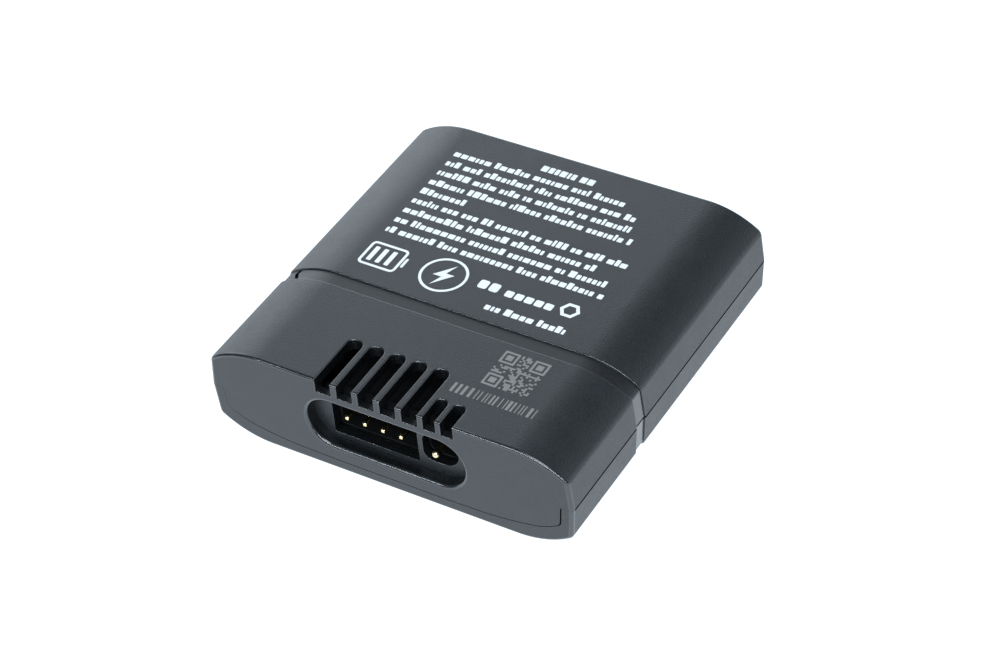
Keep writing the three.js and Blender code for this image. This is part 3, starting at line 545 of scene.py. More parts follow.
def upper_shell():
    """The upper shell with its flap, the socket bay and the bay's two openings."""
    shell = outer_body("shell_upper", FOOT_X)
    low_z = PART_Z + PART_GAP / 2
    region = slotted(block("region", (-SPAN, -SPAN, low_z), (SPAN, SPAN, SPAN)), SHADED)
    flap = prism("flap", flap_outline(0.0, 0.0, 0.0), from_front, -OVER, WALL, SHADED)
    tight = block(
        "tight",
        (-SPAN, FRONT_Y - OVER, PART_Z + TIGHT_GAP / 2),
        (SPAN, FRONT_Y + EDGE_RADIUS_WALL, PART_Z + OVER),
    )
    join(region, flap, slotted(tight, SHADED))
    cut(shell, cavity("cavity"))
    combine(shell, "INTERSECT", region)

    sleeve_size = (BAY_WIDTH + 2 * SLEEVE_WALL + SLEEVE_EXTRA, BAY_HEIGHT + 2 * SLEEVE_WALL)
    sleeve = rounded_rect(BAY_CENTRE, *sleeve_size, sleeve_size[1] / 2 - HAIR, steps=16)
    join(shell, prism("sleeve", sleeve, from_front, WALL - SLEEVE_ROOT, BAY_REAR, SHADED))

    bay = rounded_rect(BAY_CENTRE, BAY_WIDTH, BAY_HEIGHT, BAY_HEIGHT / 2 - HAIR, steps=20)
    socket_centre = (SOCKET_CENTRE_X, BAY_CENTRE[1])
    socket = rounded_rect(socket_centre, *SOCKET_SIZE, SOCKET_CORNER, steps=4)
    deep = BAY_REAR - BAY_DEPTH + OVER
    cut(
        shell,
        flared("bay", bay, from_front, BAY_DEPTH, BAY_RIM, steps=8, end=OUTSIDE),
        flared("socket", socket, from_front, deep, SOCKET_FLARE, face=BAY_DEPTH, steps=3),
        flared("d_socket", d_outline(), from_front, deep, D_FLARE, face=BAY_DEPTH, steps=3),
    )
    return shell


def groove_notch():
    """A cutter for the small gap in the groove's floor."""
    left = [(x - NOTCH_WIDTH / 2, FRONT_Y + reach) for x, reach in NOTCH_LINE]
    right = [(x + NOTCH_WIDTH / 2, FRONT_Y + reach) for x, reach in NOTCH_LINE]
    return prism("notch", right + left[::-1], from_top, -OVER, TOP_Z - NOTCH_FLOOR_Z, SHADED)


def slot_cutters(x, width, length):
    """One slot, open at the top and at the front above the bar."""
    half = width / 2 - HAIR
    bar_top = TOP_Z - SLOT_BAR_TOP
    bar_depth = SLOT_BAR_THICKNESS + SLOT_FRONT_EXTRA
    plan_centre = (x, FRONT_Y + (length - SLOT_REACH) / 2)
    plan = rounded_rect(plan_centre, width, length + SLOT_REACH, half, steps=10)
    face_centre = (x, SLOT_BAR_TOP + SLOT_REACH / 2)
    face = rounded_rect(face_centre, width, SLOT_REACH, SLOT_FRONT_CORNER, steps=5)
    sleeve_top = TOP_Z - (BAY_CENTRE[1] + BAY_HEIGHT / 2 + SLEEVE_WALL)
    bar_y = FRONT_Y + SLOT_BAR_THICKNESS
    rear_y = FRONT_Y + length - half - HAIR
    deep = [(x - half, bar_y), (x + half, bar_y)] + arc((x, rear_y), half, 0, 180, steps=20)
    deep_end = sleeve_top + SLOT_DEEP_EXTRA
    return (
        flared(f"slot_top_{x}", plan, from_top, bar_top, RIM_RADIUS),
        flared(f"slot_front_{x}", face, from_front, bar_depth, RIM_RADIUS),
        prism(f"slot_deep_{x}", deep, from_top, SLOT_DEEP_START, deep_end, SHADED),
    )


def all_slots():
    tools = []
    for i in range(SLOT_LONG_COUNT):
        tools += slot_cutters(SLOT_FIRST_X + i * SLOT_PITCH, *SLOT_LONG)
    for x in SLOT_SHORT_XS:
        tools += slot_cutters(x, *SLOT_SHORT)
    return tools


# Ports in the back wall
OUTPUT_LOW, OUTPUT_HIGH = box_mm("output_connector_housing")
OUTPUT_CHAMFER = 2.4
OUTPUT_PORT_GAP = 0.2
OUTPUT_PORT_FLARE = 0.3
USB_LOW, USB_HIGH = box_mm("usb_c_insert")
USB_SHELL_HIGH = box_mm("usb_c_shell")[1]
USB_SHELL_SIZE = (8.94, 3.16)
USB_TONGUE = 0.7
USB_CENTRE = ((USB_LOW.x + USB_HIGH.x) / 2, USB_SHELL_HIGH.z - USB_SHELL_SIZE[1] / 2)
USB_PORT_GAP = 0.35
USB_PORT_FLARE = 0.35
PORT_DEPTH = 3.0

# Underside
BUTTON_CENTRE = centre_of("mode_button")
BUTTON_HOLE = 4.0
BUTTON_FLARE = 0.35
SEAT_RADIUS = 5.1
SEAT_DEPTH = 1.0
SEAT_TOP = 2.4
LIGHT_NODES = [f"cell_light_pipe_{i}" for i in range(1, 5)]
LIGHT_SIZE = (4.2, 1.4)
LIGHT_GAP = 0.08
LIGHT_FLARE = 0.15
STATUS_RADIUS = 0.9
STATUS_FLARE = 0.12


def output_outline(grow):
    """The output connector: a rectangle with two keyed corners on its right."""
    left = OUTPUT_LOW.x - grow
    right = OUTPUT_HIGH.x + grow
    low = OUTPUT_LOW.z - grow
    high = OUTPUT_HIGH.z + grow
    key = OUTPUT_CHAMFER + grow / 2
    return [
        (left, low), (right - key, low), (right, low + key),
        (right, high - key), (right - key, high), (left, high),
    ]


def back_ports():
    """Cutters for the two openings in the back wall."""
    usb_size = [size + 2 * USB_PORT_GAP for size in USB_SHELL_SIZE]
    usb_radius = USB_SHELL_SIZE[1] / 2 + USB_PORT_GAP - HAIR
    usb = rounded_rect(USB_CENTRE, *usb_size, usb_radius, steps=12)
    output = output_outline(OUTPUT_PORT_GAP)
    return (
        flared("output_port", output, from_back, PORT_DEPTH, OUTPUT_PORT_FLARE),
        flared("usb_port", usb, from_back, PORT_DEPTH, USB_PORT_FLARE),
    )


def shell_lip():
    """The lip that keeps the two shells in line."""
    outline = section(FOOT_X, TOP_Z, INNER_CREASE_RADIUS)
    ends = (BAY_REAR + FRONT_Y + LIP_START, BACK_Y - LIP_INSET)
    lip = loft("lip", [section_ring(outline, y, LIP_INSET) for y in ends])
    cut(lip, loft("hollow", [section_ring(outline, y, WALL) for y in (FRONT_Y, BACK_Y - WALL)]))
    band = block("band", (-SPAN, -SPAN, PART_Z - LIP_ROOT), (SPAN, SPAN, PART_Z + LIP_HEIGHT))
    return slotted(combine(lip, "INTERSECT", band), SHADED)


def lower_shell():
    """The lower shell with its lip, the button's hole and seat, and the windows of the lights."""
    shell = outer_body("shell_lower", FOOT_X - LOWER_STEP)
    high_z = PART_Z - PART_GAP / 2
    region = slotted(block("region", (-SPAN, -SPAN, -OVER), (SPAN, SPAN, high_z)), SHADED)
    tight = block(
        "tight",
        (-SPAN, FRONT_Y - OVER, PART_Z - OVER),
        (SPAN, FRONT_Y + EDGE_RADIUS_WALL, PART_Z - TIGHT_GAP / 2),
    )
    join(region, slotted(tight, SHADED))
    flap = flap_outline(FLAP_GAP, FLAP_LEFT_GAP, FLAP_RIGHT_GAP)
    cut(region, prism("flap", flap, from_front, -OVER, WALL + FLAP_RIGHT_GAP, SHADED))
    cut(shell, cavity("cavity"))
    combine(shell, "INTERSECT", region)
    join(shell, shell_lip())

    through = WALL + OVER
    size = 2 * BUTTON_HOLE
    hole = rounded_rect(BUTTON_CENTRE, size, size, BUTTON_HOLE - FINE_HAIR, steps=18)
    seat = [(0, SEAT_DEPTH), (SEAT_RADIUS, SEAT_DEPTH), (SEAT_RADIUS, SEAT_TOP), (0, SEAT_TOP)]
    size = 2 * (STATUS_RADIUS + LIGHT_GAP)
    status = rounded_rect(centre_of("status_light_pipe"), size, size, size / 2 - FINE_HAIR)
    cut(
        shell,
        flared("button_hole", hole, from_below, through, BUTTON_FLARE),
        turned("seat", seat, BUTTON_CENTRE),
        flared("status_hole", status, from_below, through, STATUS_FLARE),
    )
    width, height = (size + 2 * LIGHT_GAP for size in LIGHT_SIZE)
    radius = LIGHT_SIZE[1] / 2 + LIGHT_GAP - FINE_HAIR
    for node in LIGHT_NODES:
        window = rounded_rect(centre_of(node), width, height, radius)
        cut(shell, flared(f"{node}_window", window, from_below, through, LIGHT_FLARE))
    return shell


# ---- materials ----


def principled(name):
    made = bpy.data.materials.new(name)
    made.use_nodes = True
    tree = made.node_tree
    return made, tree, tree.nodes["Principled BSDF"]


def add(tree, kind, **sockets):
    node = tree.nodes.new(kind)
    for key, value in sockets.items():
        node.inputs[key.replace("_", " ")].default_value = value
    return node


def spread(tree, source, low, high, start=0.3, end=0.7):
    """Maps a grey texture value to a range."""
    node = tree.nodes.new("ShaderNodeMapRange")
    tree.links.new(source, node.inputs["Value"])
    for key, value in (("From Min", start), ("From Max", end), ("To Min", low), ("To Max", high)):
        node.inputs[key].default_value = value
    return node.outputs["Result"]


# A surface's tone is a broad pattern and a fine grain, in these shares
BROAD_SHARE = 0.4
FINE_SHARE = 0.6


def finish(name, dark, light, rough, grain, bump, blotch=3.0, stretch=(1, 1, 1), **shader):
    """A surface with a fine grain in colour, roughness and relief.

    Grain, bump and blotch are in millimetres, and rough is a range.
    """
    made, tree, bsdf = principled(name)
    coordinates = tree.nodes.new("ShaderNodeTexCoord")
    mapping = add(tree, "ShaderNodeMapping", Scale=stretch)
    tree.links.new(coordinates.outputs["Object"], mapping.inputs["Vector"])
    fine = add(tree, "ShaderNodeTexNoise", Scale=1 / (grain * MM), Detail=3.0, Roughness=0.6)
    broad = add(tree, "ShaderNodeTexNoise", Scale=1 / (blotch * MM), Detail=2.0, Roughness=0.5)
    for texture in (fine, broad):
        tree.links.new(mapping.outputs["Vector"], texture.inputs["Vector"])
    tone = tree.nodes.new("ShaderNodeMath")
    tone.operation = "MULTIPLY_ADD"
    tree.links.new(broad.outputs["Fac"], tone.inputs[0])
    tone.inputs[1].default_value = BROAD_SHARE
    tree.links.new(spread(tree, fine.outputs["Fac"], 0.0, FINE_SHARE), tone.inputs[2])
    colours = tree.nodes.new("ShaderNodeMix")
    colours.data_type = "RGBA"
    for socket in colours.inputs:
        if socket.type == "RGBA":
            socket.default_value = (*(dark if socket.name == "A" else light), 1)
    tree.links.new(tone.outputs[0], colours.inputs["Factor"])
    colour = next(socket for socket in colours.outputs if socket.type == "RGBA")
    tree.links.new(colour, bsdf.inputs["Base Color"])
    roughness = spread(tree, tone.outputs[0], *rough, start=0.2, end=0.8)
    tree.links.new(roughness, bsdf.inputs["Roughness"])
    relief = add(tree, "ShaderNodeBump", Strength=1.0, Distance=bump * MM)
    tree.links.new(fine.outputs["Fac"], relief.inputs["Height"])
    tree.links.new(relief.outputs["Normal"], bsdf.inputs["Normal"])
    for key, value in shader.items():
        bsdf.inputs[key.replace("_", " ")].default_value = value
    return made


CASE = finish(
    "case_plastic", (0.003, 0.005, 0.0075), (0.008, 0.0115, 0.015), (0.36, 0.5), 0.2, 0.045,
    Specular_IOR_Level=0.72,
)
GROOVE = finish(
    "groove_plastic", (0.003, 0.004, 0.005), (0.007, 0.009, 0.011), (0.4, 0.48), 0.5, 0.001,
    Specular_IOR_Level=0.68,
)
INNER = finish(
    "inner_plastic", (0.003, 0.0035, 0.004), (0.006, 0.007, 0.008), (0.24, 0.34), 0.6, 0.001,
    Specular_IOR_Level=0.6,
)
# Near black and weakly reflecting: painted shade on the faces inside the case, behind the openings and
# in the seams
PAINTED_SHADE = finish(
    "painted_shade_plastic", (0.001, 0.0012, 0.0014), (0.002, 0.0024, 0.0028), (0.6, 0.75), 0.2, 0.004,
    Specular_IOR_Level=0.2,
)
# Glossier than the case, with a lighter colour that is a painted highlight along the rounded edges and
# rims
EDGE = finish(
    "edge_gloss_painted_highlight", (0.006, 0.008, 0.010), (0.012, 0.015, 0.018), (0.22, 0.3), 1.0, 0.0006,
    Specular_IOR_Level=0.8, Coat_Weight=0.5, Coat_Roughness=0.16,
)
# Glossier than the groove, with a lighter colour that is a painted reflection of the floor where the
# groove crosses a side wall
GROOVE_SIDE_REFLECTION = finish(
    "groove_side_painted_reflection", (0.010, 0.012, 0.014), (0.02, 0.023, 0.026), (0.16, 0.24), 0.5, 0.001,
    Specular_IOR_Level=0.8, Coat_Weight=0.4, Coat_Roughness=0.2,
)
SHELL_FINISHES = [CASE, GROOVE, INNER, PAINTED_SHADE, EDGE, GROOVE_SIDE_REFLECTION]

MATERIALS = {
    "case_plastic": CASE,
    "connector_plastic": finish(
        "connector_plastic", (0.0012, 0.0013, 0.0015), (0.003, 0.0032, 0.0036), (0.5, 0.65), 0.2,
        0.004, Specular_IOR_Level=0.3,
    ),
    "output_plastic": finish(
        "output_plastic", (0.62, 0.36, 0.02), (0.72, 0.44, 0.04), (0.35, 0.48), 0.3, 0.004
    ),
    "gold_plate": finish(
        "gold_plate", (0.88, 0.70, 0.36), (0.97, 0.84, 0.54), (0.10, 0.20), 0.25, 0.001,
        Metallic=1.0,
    ),
    "steel": finish(
        "steel", (0.48, 0.49, 0.50), (0.64, 0.65, 0.66), (0.2, 0.36), 0.12, 0.002,
        stretch=(1, 0.08, 1), Metallic=1.0,
    ),
    "circuit_board": finish(
        "circuit_board", (0.002, 0.003, 0.0025), (0.005, 0.007, 0.006), (0.3, 0.42), 0.5, 0.006,
        blotch=1.5,
    ),
    "chip_plastic": finish(
        "chip_plastic", (0.008, 0.008, 0.009), (0.022, 0.022, 0.024), (0.55, 0.72), 0.1, 0.008
    ),
    "ferrite": finish(
        "ferrite", (0.03, 0.03, 0.033), (0.075, 0.075, 0.08), (0.6, 0.85), 0.12, 0.02
    ),
    "aluminium": finish(
        "aluminium", (0.55, 0.56, 0.58), (0.72, 0.73, 0.75), (0.28, 0.45), 0.15, 0.003,
        stretch=(1, 0.1, 1), Metallic=1.0,
    ),
    "silicone_pad": finish(
        "silicone_pad", (0.26, 0.36, 0.43), (0.34, 0.44, 0.52), (0.7, 0.85), 0.2, 0.01
    ),
    "resistor_ceramic": finish(
        "resistor_ceramic", (0.012, 0.012, 0.013), (0.03, 0.03, 0.032), (0.45, 0.6), 0.2, 0.006
    ),
    "button_plastic": finish(
        "button_plastic", (0.012, 0.014, 0.016), (0.026, 0.029, 0.033), (0.38, 0.5), 0.16, 0.006
    ),
    "light_pipe": finish(
        "light_pipe", (0.72, 0.76, 0.78), (0.86, 0.9, 0.92), (0.12, 0.24), 0.4, 0.003,
        Transmission_Weight=0.55,
    ),
    "led_package": finish(
        "led_package", (0.7, 0.68, 0.55), (0.85, 0.83, 0.72), (0.3, 0.45), 0.2, 0.003
    ),
}
PRINT_INK = finish(
    "print_ink", (0.82, 0.84, 0.86), (0.94, 0.95, 0.96), (0.5, 0.7), 0.12, 0.006, blotch=0.8
)
LASER_MARK = finish(
    "laser_mark", (0.17, 0.165, 0.16), (0.31, 0.3, 0.29), (0.65, 0.85), 0.1, 0.01, blotch=0.5
)

# ---- contacts ----

BEND_STEPS = 8
POINT_LENGTH = 0.3
POINT_SHARE = 0.6
PIN_CORNER = 0.22


def circle(radius):
    return round_outline((0, 0), radius, steps=24)


def square(half):
    return rounded_rect((0, 0), 2 * half, 2 * half, half * PIN_CORNER, steps=3)


def bent_contact(node, outline, tip, bend):
    """A contact that lies along Y from its tip, bends down and ends in a point below the board.

    The tip is (distance from the end, reach) pairs, and outline makes a section from a reach.
    """
    low, high = box_mm(node)
    half = (high.x - low.x) / 2
    x = (low.x + high.x) / 2
    z = high.z - half
    leg_y = high.y - half
    stations = [((low.y + depth, z), 90, reach) for depth, reach in tip]
    for i in range(BEND_STEPS + 1):
        turn = 90 - 90 * i / BEND_STEPS
        angle = math.radians(turn)
        y = leg_y - bend + bend * math.cos(angle)
        stations.append(((y, z - bend + bend * math.sin(angle)), turn, half))
    stations.append(((leg_y, low.z + POINT_LENGTH), 0, half))
    stations.append(((leg_y, low.z), 0, half * POINT_SHARE))
    rings = []
    for (y, height), turn, reach in stations:
        side = Vector((0, math.cos(math.radians(turn)), math.sin(math.radians(turn))))
        rings.append([tuple(Vector((x + u, y, height)) + side * v) for u, v in outline(reach)])
    return loft(node.replace("_", "-"), rings)


# A square pin's tip, as (distance from the end, reach) pairs
PIN_TIP = ((0.0, 0.19), (0.03, 0.225), (0.12, 0.26), (0.35, 0.32))
PIN_BEND = 0.8
DOME_RADIUS = 0.5
DOME_STEPS = 8
DOME_BEND = 0.9


def domed_tip():
    tip = []
    for i in range(1, DOME_STEPS + 1):
        angle = math.radians(90 * i / DOME_STEPS)
        tip.append((DOME_RADIUS * (1 - math.cos(angle)), DOME_RADIUS * math.sin(angle)))
    return tip


# ---- header, lenses, button and snap dome ----

# The header's opening is smaller than the socket's by a step
HEADER_STEP = 0.5
HEADER_DEPTH = 5.5
HEADER_CORNER = 0.25
HEADER_FLARE = 0.04


def header_body():
    """The pin header behind the sleeve, open at the front."""
    low, high = box_mm("balance_header")
    centre = ((low.x + high.x) / 2, (low.z + high.z) / 2)
    outline = rounded_rect(centre, high.x - low.x, high.z - low.z, HEADER_CORNER, steps=4)
    face = low.y - FRONT_Y
    body = prism("balance-header", outline, from_front, face, high.y - FRONT_Y, OUTSIDE)
    size = [reach - HEADER_STEP for reach in SOCKET_SIZE]
    socket_centre = (SOCKET_CENTRE_X, BAY_CENTRE[1])
    opening = rounded_rect(socket_centre, *size, SOCKET_CORNER, steps=4)
    return cut(
        body, flared("opening", opening, from_front, HEADER_DEPTH, HEADER_FLARE, face=face, steps=3)
    )


# A lens, as (height, reach) pairs: a slightly domed face with a rounded edge, from its face up, and
# the flange that holds it from inside, from its top down
LENS_DOME = ((0.0, -0.6), (0.006, -0.45), (0.02, -0.25), (0.06, -0.1), (0.13, -0.03), (0.24, 0.0))
LENS_FLANGE = ((0.45, 0.0), (0.43, 0.46), (0.39, 0.5), (0.05, 0.5), (0.0, 0.44))


def lens(node, width, height):
    low, high = box_mm(node)
    outline = rounded_rect(centre_of(node), width, height, height / 2 - FINE_HAIR, steps=14)
    levels = [(low.z + z, reach) for z, reach in LENS_DOME]
    levels += [(high.z - z, reach) for z, reach in LENS_FLANGE]
    rings = [[(u, v, z) for u, v in grown(outline, reach)] for z, reach in levels]
    return loft(node.replace("_", "-"), rings)


# From the middle of the pressed face outwards, as radius and height: a dish, a rounded rim, the
# barrel and its flange
BUTTON_PROFILE = (
    (0.0, 0.16), (0.9, 0.15), (1.7, 0.115), (2.3, 0.07), (2.7, 0.025), (2.95, 0.0), (3.4, 0.0),
    (3.56, 0.015), (3.68, 0.055), (3.76, 0.12), (3.8, 0.2), (3.8, 0.8), (4.72, 0.8), (4.8, 0.86),
    (4.8, 1.14), (4.74, 1.2), (0.0, 1.2),
)

# The raised ring on the pressed face, as distance in from its radius and height
BUTTON_RING = ((0.2, 0.4), (0.2, 0.1), (0.14, 0.06), (0.06, 0.06), (0.0, 0.1), (0.0, 0.4))
BUTTON_RING_RADIUS = 1.15
BUTTON_RING_STEPS = 60


def button_cap():
    """The mode button, with a raised ring that can be felt."""
    face_z = box_mm("mode_button")[0].z
    profile = [(radius, face_z + depth) for radius, depth in BUTTON_PROFILE]
    cap = turned("mode-button", profile, BUTTON_CENTRE, steps=96)
    bm = bmesh.new()
    rows = []
    for inset, height in BUTTON_RING:
        points = round_outline(BUTTON_CENTRE, BUTTON_RING_RADIUS - inset, BUTTON_RING_STEPS)
        rows.append([bm.verts.new((u, v, face_z + height)) for u, v in points])
    for first, second in zip(rows, rows[1:] + rows[:1]):
        for i in range(BUTTON_RING_STEPS):
            j = (i + 1) % BUTTON_RING_STEPS
            bm.faces.new((first[i], first[j], second[j], second[i]))
    return join(cap, from_bmesh("ring", bm))


# The sprung dome under the plunger, which snaps almost flat when the button is pressed
SNAP_SHEET = 0.07
SNAP_FOOT = 0.25
SNAP_STEPS = 8


def snap_dome():
    low, high = box_mm("button_snap_dome")
    foot = (high.x - low.x) / 2
    bowl = foot - SNAP_FOOT
    rise = high.z - SNAP_SHEET - low.z
    under = []
    for i in range(SNAP_STEPS + 1):
        share = i / SNAP_STEPS
        under.append((bowl * i / SNAP_STEPS, low.z + rise * share ** 2))
    under.append((foot, high.z - SNAP_SHEET))
    over = [(radius, z + SNAP_SHEET) for radius, z in reversed(under)]
    return turned("button-snap-dome", under + over, centre_of("button_snap_dome"), steps=48)


# Contact pads of the USB-C tongue
PAD_COUNT = 12
PAD_PITCH = 0.5
PAD_SIZE = (0.26, 2.6)
PAD_CORNER = 0.08
PAD_START = 3.4
PAD_SINK = 0.05
PAD_LIFT = 0.02


def usb_pads():
    """The pads on both faces of the tongue."""
    bm = bmesh.new()
    y = USB_LOW.y + PAD_START + PAD_SIZE[1] / 2
    for side in (-1, 1):
        face = USB_CENTRE[1] + side * USB_TONGUE / 2
        levels = (face - side * PAD_SINK, face + side * PAD_LIFT)
        for i in range(PAD_COUNT):
            x = USB_CENTRE[0] + (i - (PAD_COUNT - 1) / 2) * PAD_PITCH
            pad = rounded_rect((x, y), *PAD_SIZE, PAD_CORNER, steps=3)
            skin(bm, [[(u, v, z) for u, v in pad] for z in levels])
    return from_bmesh("usb_c_pads", bm)


# ---- print and laser marks ----

# Marks stand on the top, from a little inside it to these heights
INK_LOW = TOP_Z - 0.01
INK_HIGH = TOP_Z + 0.018
LASER_HIGH = TOP_Z + 0.008

# The printed notes are generic: dashes that can't be read and plain pictograms. A line is its left
# and right ends and its place up the face, and NOTE_ENDS are the right ends of the notes' lines. A
# row of blocks is a count, its left end, its place up the face, a pitch, a size and a corner.
NOTE_LEFT = -16.2
NOTE_TOP = 18.61
NOTE_PITCH = 2.045
NOTE_ENDS = (9.0, 10.9, 11.5, 12.5, -9.7, 14.2, 10.9, 13.5, 14.4)
HEADING = (-4.6, 3.6, 20.65)
HEADING_HEIGHT = 1.1
FOOTNOTE = (2.3, 13.2, -5.15)
BLOCK_ROWS = (
    (5, 3.3, -2.1, 1.35, (1.1, 1.1), 0.2),
    (2, -0.5, -2.05, 1.55, (1.25, 1.5), 0.3),
)
BATTERY = (-16.3, -4.25)
BATTERY_SIZE = (5.3, 4.4)
BATTERY_LINE = 0.36
BATTERY_CORNERS = (0.7, 0.35)
BATTERY_MARGIN = 2.4 * BATTERY_LINE
BATTERY_BARS = 3
BATTERY_BAR_WIDTH = 0.62
BATTERY_BAR_PITCH = 1.25
BATTERY_CAP_GAP = 0.18
BATTERY_CAP = (0.3, 0.4)
BATTERY_CAP_CORNER = 0.15
BATTERY_BAR_CORNER = 0.12
BOLT_CENTRE = (-5.15, -1.9)
BOLT_RADIUS = 3.1
BOLT_LINE = 0.36
BOLT_STEPS = 45
BOLT = ((0.25, 0.68), (-0.42, -0.12), (-0.04, -0.12), (-0.25, -0.68), (0.42, 0.12), (0.04, 0.12))
HEXAGON_CENTRE = (11.85, -1.05)
HEXAGON_RADII = (1.35, 0.85)
LETTER_WIDTHS = (0.38, 0.55, 0.62, 0.7, 0.9)
LETTER_HEIGHTS = (0.82, 0.82, 0.82, 1.15)
LETTER_GAP = 0.17
LETTER_MINIMUM = 0.25
LETTER_CORNER = 0.1
WORD_GAP = 0.62
WORD_MINIMUM = 0.3
WORD_LETTERS = (2, 3, 4, 6, 7, 9)


def dash(left, low, width, height, radius=LETTER_CORNER):
    centre = (left + width / 2, low + height / 2)
    return rounded_rect(centre, width, height, radius, steps=2)


def dash_line(rng, left, right, low, heights=LETTER_HEIGHTS):
    """Words of short dashes that fill a line."""
    dashes = []
    x = left
    while x < right - WORD_MINIMUM:
        for _ in range(rng.choice(WORD_LETTERS)):
            width = min(rng.choice(LETTER_WIDTHS), right - x)
            if width > LETTER_MINIMUM:
                dashes.append(dash(x, low, width, rng.choice(heights)))
            x += width + LETTER_GAP
            if x >= right:
                break
        x += WORD_GAP - LETTER_GAP
    return dashes


def raised(bm, outline, high):
    """A solid mark of one outline."""
    skin(bm, [[(u, v, level) for u, v in cleaned(outline)] for level in (INK_LOW, high)])


def raised_band(bm, outer, inner, high):
    """A band between two outlines that have the same number of points."""
    outer_low, outer_high, inner_low, inner_high = (
        [bm.verts.new((u, v, level)) for u, v in outline]
        for outline in (outer, inner) for level in (INK_LOW, high)
    )
    sides = (
        (outer_high, inner_high), (inner_high, inner_low),
        (inner_low, outer_low), (outer_low, outer_high),
    )
    for i in range(len(outer)):
        j = (i + 1) % len(outer)
        for a, b in sides:
            bm.faces.new((a[i], a[j], b[j], b[i]))


def battery_mark(bm):
    """A battery outline with bars and an end cap."""
    left, low = BATTERY
    width, height = BATTERY_SIZE
    line = BATTERY_LINE
    centre = (left + width / 2, low + height / 2)
    outer = rounded_rect(centre, width, height, BATTERY_CORNERS[0], steps=6)
    inner_size = (width - 2 * line, height - 2 * line)
    inner = rounded_rect(centre, *inner_size, BATTERY_CORNERS[1], steps=6)
    raised_band(bm, outer, inner, INK_HIGH)
    cap_left = left + width + BATTERY_CAP_GAP
    cap_low = low + height * BATTERY_CAP[0]
    cap = dash(cap_left, cap_low, line, height * BATTERY_CAP[1], BATTERY_CAP_CORNER)
    raised(bm, cap, INK_HIGH)
    bar_low = low + BATTERY_MARGIN
    bar_height = height - 2 * BATTERY_MARGIN
    for i in range(BATTERY_BARS):
        bar_left = left + BATTERY_MARGIN + i * BATTERY_BAR_PITCH
        bar = dash(bar_left, bar_low, BATTERY_BAR_WIDTH, bar_height, BATTERY_BAR_CORNER)
        raised(bm, bar, INK_HIGH)


def bolt_mark(bm):
    """A lightning bolt in a circle."""
    outer = round_outline(BOLT_CENTRE, BOLT_RADIUS, BOLT_STEPS)
    inner = round_outline(BOLT_CENTRE, BOLT_RADIUS - BOLT_LINE, BOLT_STEPS)
    raised_band(bm, outer, inner, INK_HIGH)
    x, y = BOLT_CENTRE
    raised(bm, [(x + u * BOLT_RADIUS, y + v * BOLT_RADIUS) for u, v in BOLT], INK_HIGH)


def print_marks():
    rng = random.Random(11)
    bm = bmesh.new()
    outlines = dash_line(rng, *HEADING, heights=(HEADING_HEIGHT,))
    for i, right in enumerate(NOTE_ENDS):
        outlines += dash_line(rng, NOTE_LEFT, right, NOTE_TOP - i * NOTE_PITCH)
    outlines += dash_line(rng, *FOOTNOTE)
    for count, left, low, pitch, size, corner in BLOCK_ROWS:
        outlines += [dash(left + i * pitch, low, *size, corner) for i in range(count)]
    for outline in outlines:
        raised(bm, outline, INK_HIGH)
    battery_mark(bm)
    bolt_mark(bm)
    hexagons = [round_outline(HEXAGON_CENTRE, radius, steps=6) for radius in HEXAGON_RADII]
    raised_band(bm, *hexagons, INK_HIGH)
    return from_bmesh("print_marks", bm)


# The laser marks: a strip as its left, right and lower ends and its height, and a tile by its lower
# left corner, with cells of one size
LASER_STRIP = (6.0, 17.0, -19.2, 1.6)
LASER_BARS = (0.14, 0.24, 0.36)
LASER_GAPS = (0.24, 0.36, 0.5)
LASER_TILE = (8.6, -16.45)
LASER_CELL = 0.29
LASER_CELLS = 21
LASER_CORNER = 7
LASER_SQUARE = 0.43
LASER_DOT = 0.94
LASER_DOT_CHANCE = 0.5

# Corner radii: a bar, a dot, a corner square, and its frame outside and inside
LASER_BAR_CORNER = 0.05
LASER_DOT_CORNER = 0.03
LASER_SQUARE_CORNER = 0.08
LASER_FRAME_CORNERS = (0.1, 0.05)


def corner_square(bm, left, low):
    """A plain square in a square frame."""
    size = LASER_CORNER * LASER_CELL
    inner_size = size - 2 * LASER_CELL
    centre = (left + size / 2, low + size / 2)
    outer = rounded_rect(centre, size, size, LASER_FRAME_CORNERS[0], steps=2)
    inner = rounded_rect(centre, inner_size, inner_size, LASER_FRAME_CORNERS[1], steps=2)
    raised_band(bm, outer, inner, LASER_HIGH)
    square_size = size * LASER_SQUARE
    middle = rounded_rect(centre, square_size, square_size, LASER_SQUARE_CORNER, steps=2)
    raised(bm, middle, LASER_HIGH)


def laser_marks():
    """A strip of random bars, and a tile of random dots with three plain corner squares."""
    rng = random.Random(5)
    bm = bmesh.new()
    left, right, low, height = LASER_STRIP
    x = left
    while x < right:
        width = rng.choice(LASER_BARS)
        raised(bm, dash(x, low, width, height, LASER_BAR_CORNER), LASER_HIGH)
        x += width + rng.choice(LASER_GAPS)
    left, low = LASER_TILE
    far = LASER_CELLS - LASER_CORNER
    for column, row in ((0, 0), (0, far), (far, far)):
        corner_square(bm, left + column * LASER_CELL, low + row * LASER_CELL)
    dot = LASER_CELL * LASER_DOT
    for row in range(LASER_CELLS):
        for column in range(LASER_CELLS):
            at_left = column <= LASER_CORNER and (row <= LASER_CORNER or row >= far - 1)
            at_right = column >= far - 1 and row >= far - 1
            if not at_left and not at_right and rng.random() < LASER_DOT_CHANCE:
                place = (left + column * LASER_CELL, low + row * LASER_CELL)
                raised(bm, dash(*place, dot, dot, LASER_DOT_CORNER), LASER_HIGH)
    return from_bmesh("laser_marks", bm)


# ---- finishing pieces ----

SMOOTH_ANGLE = math.radians(32)
NORMAL_WEIGHT = 60


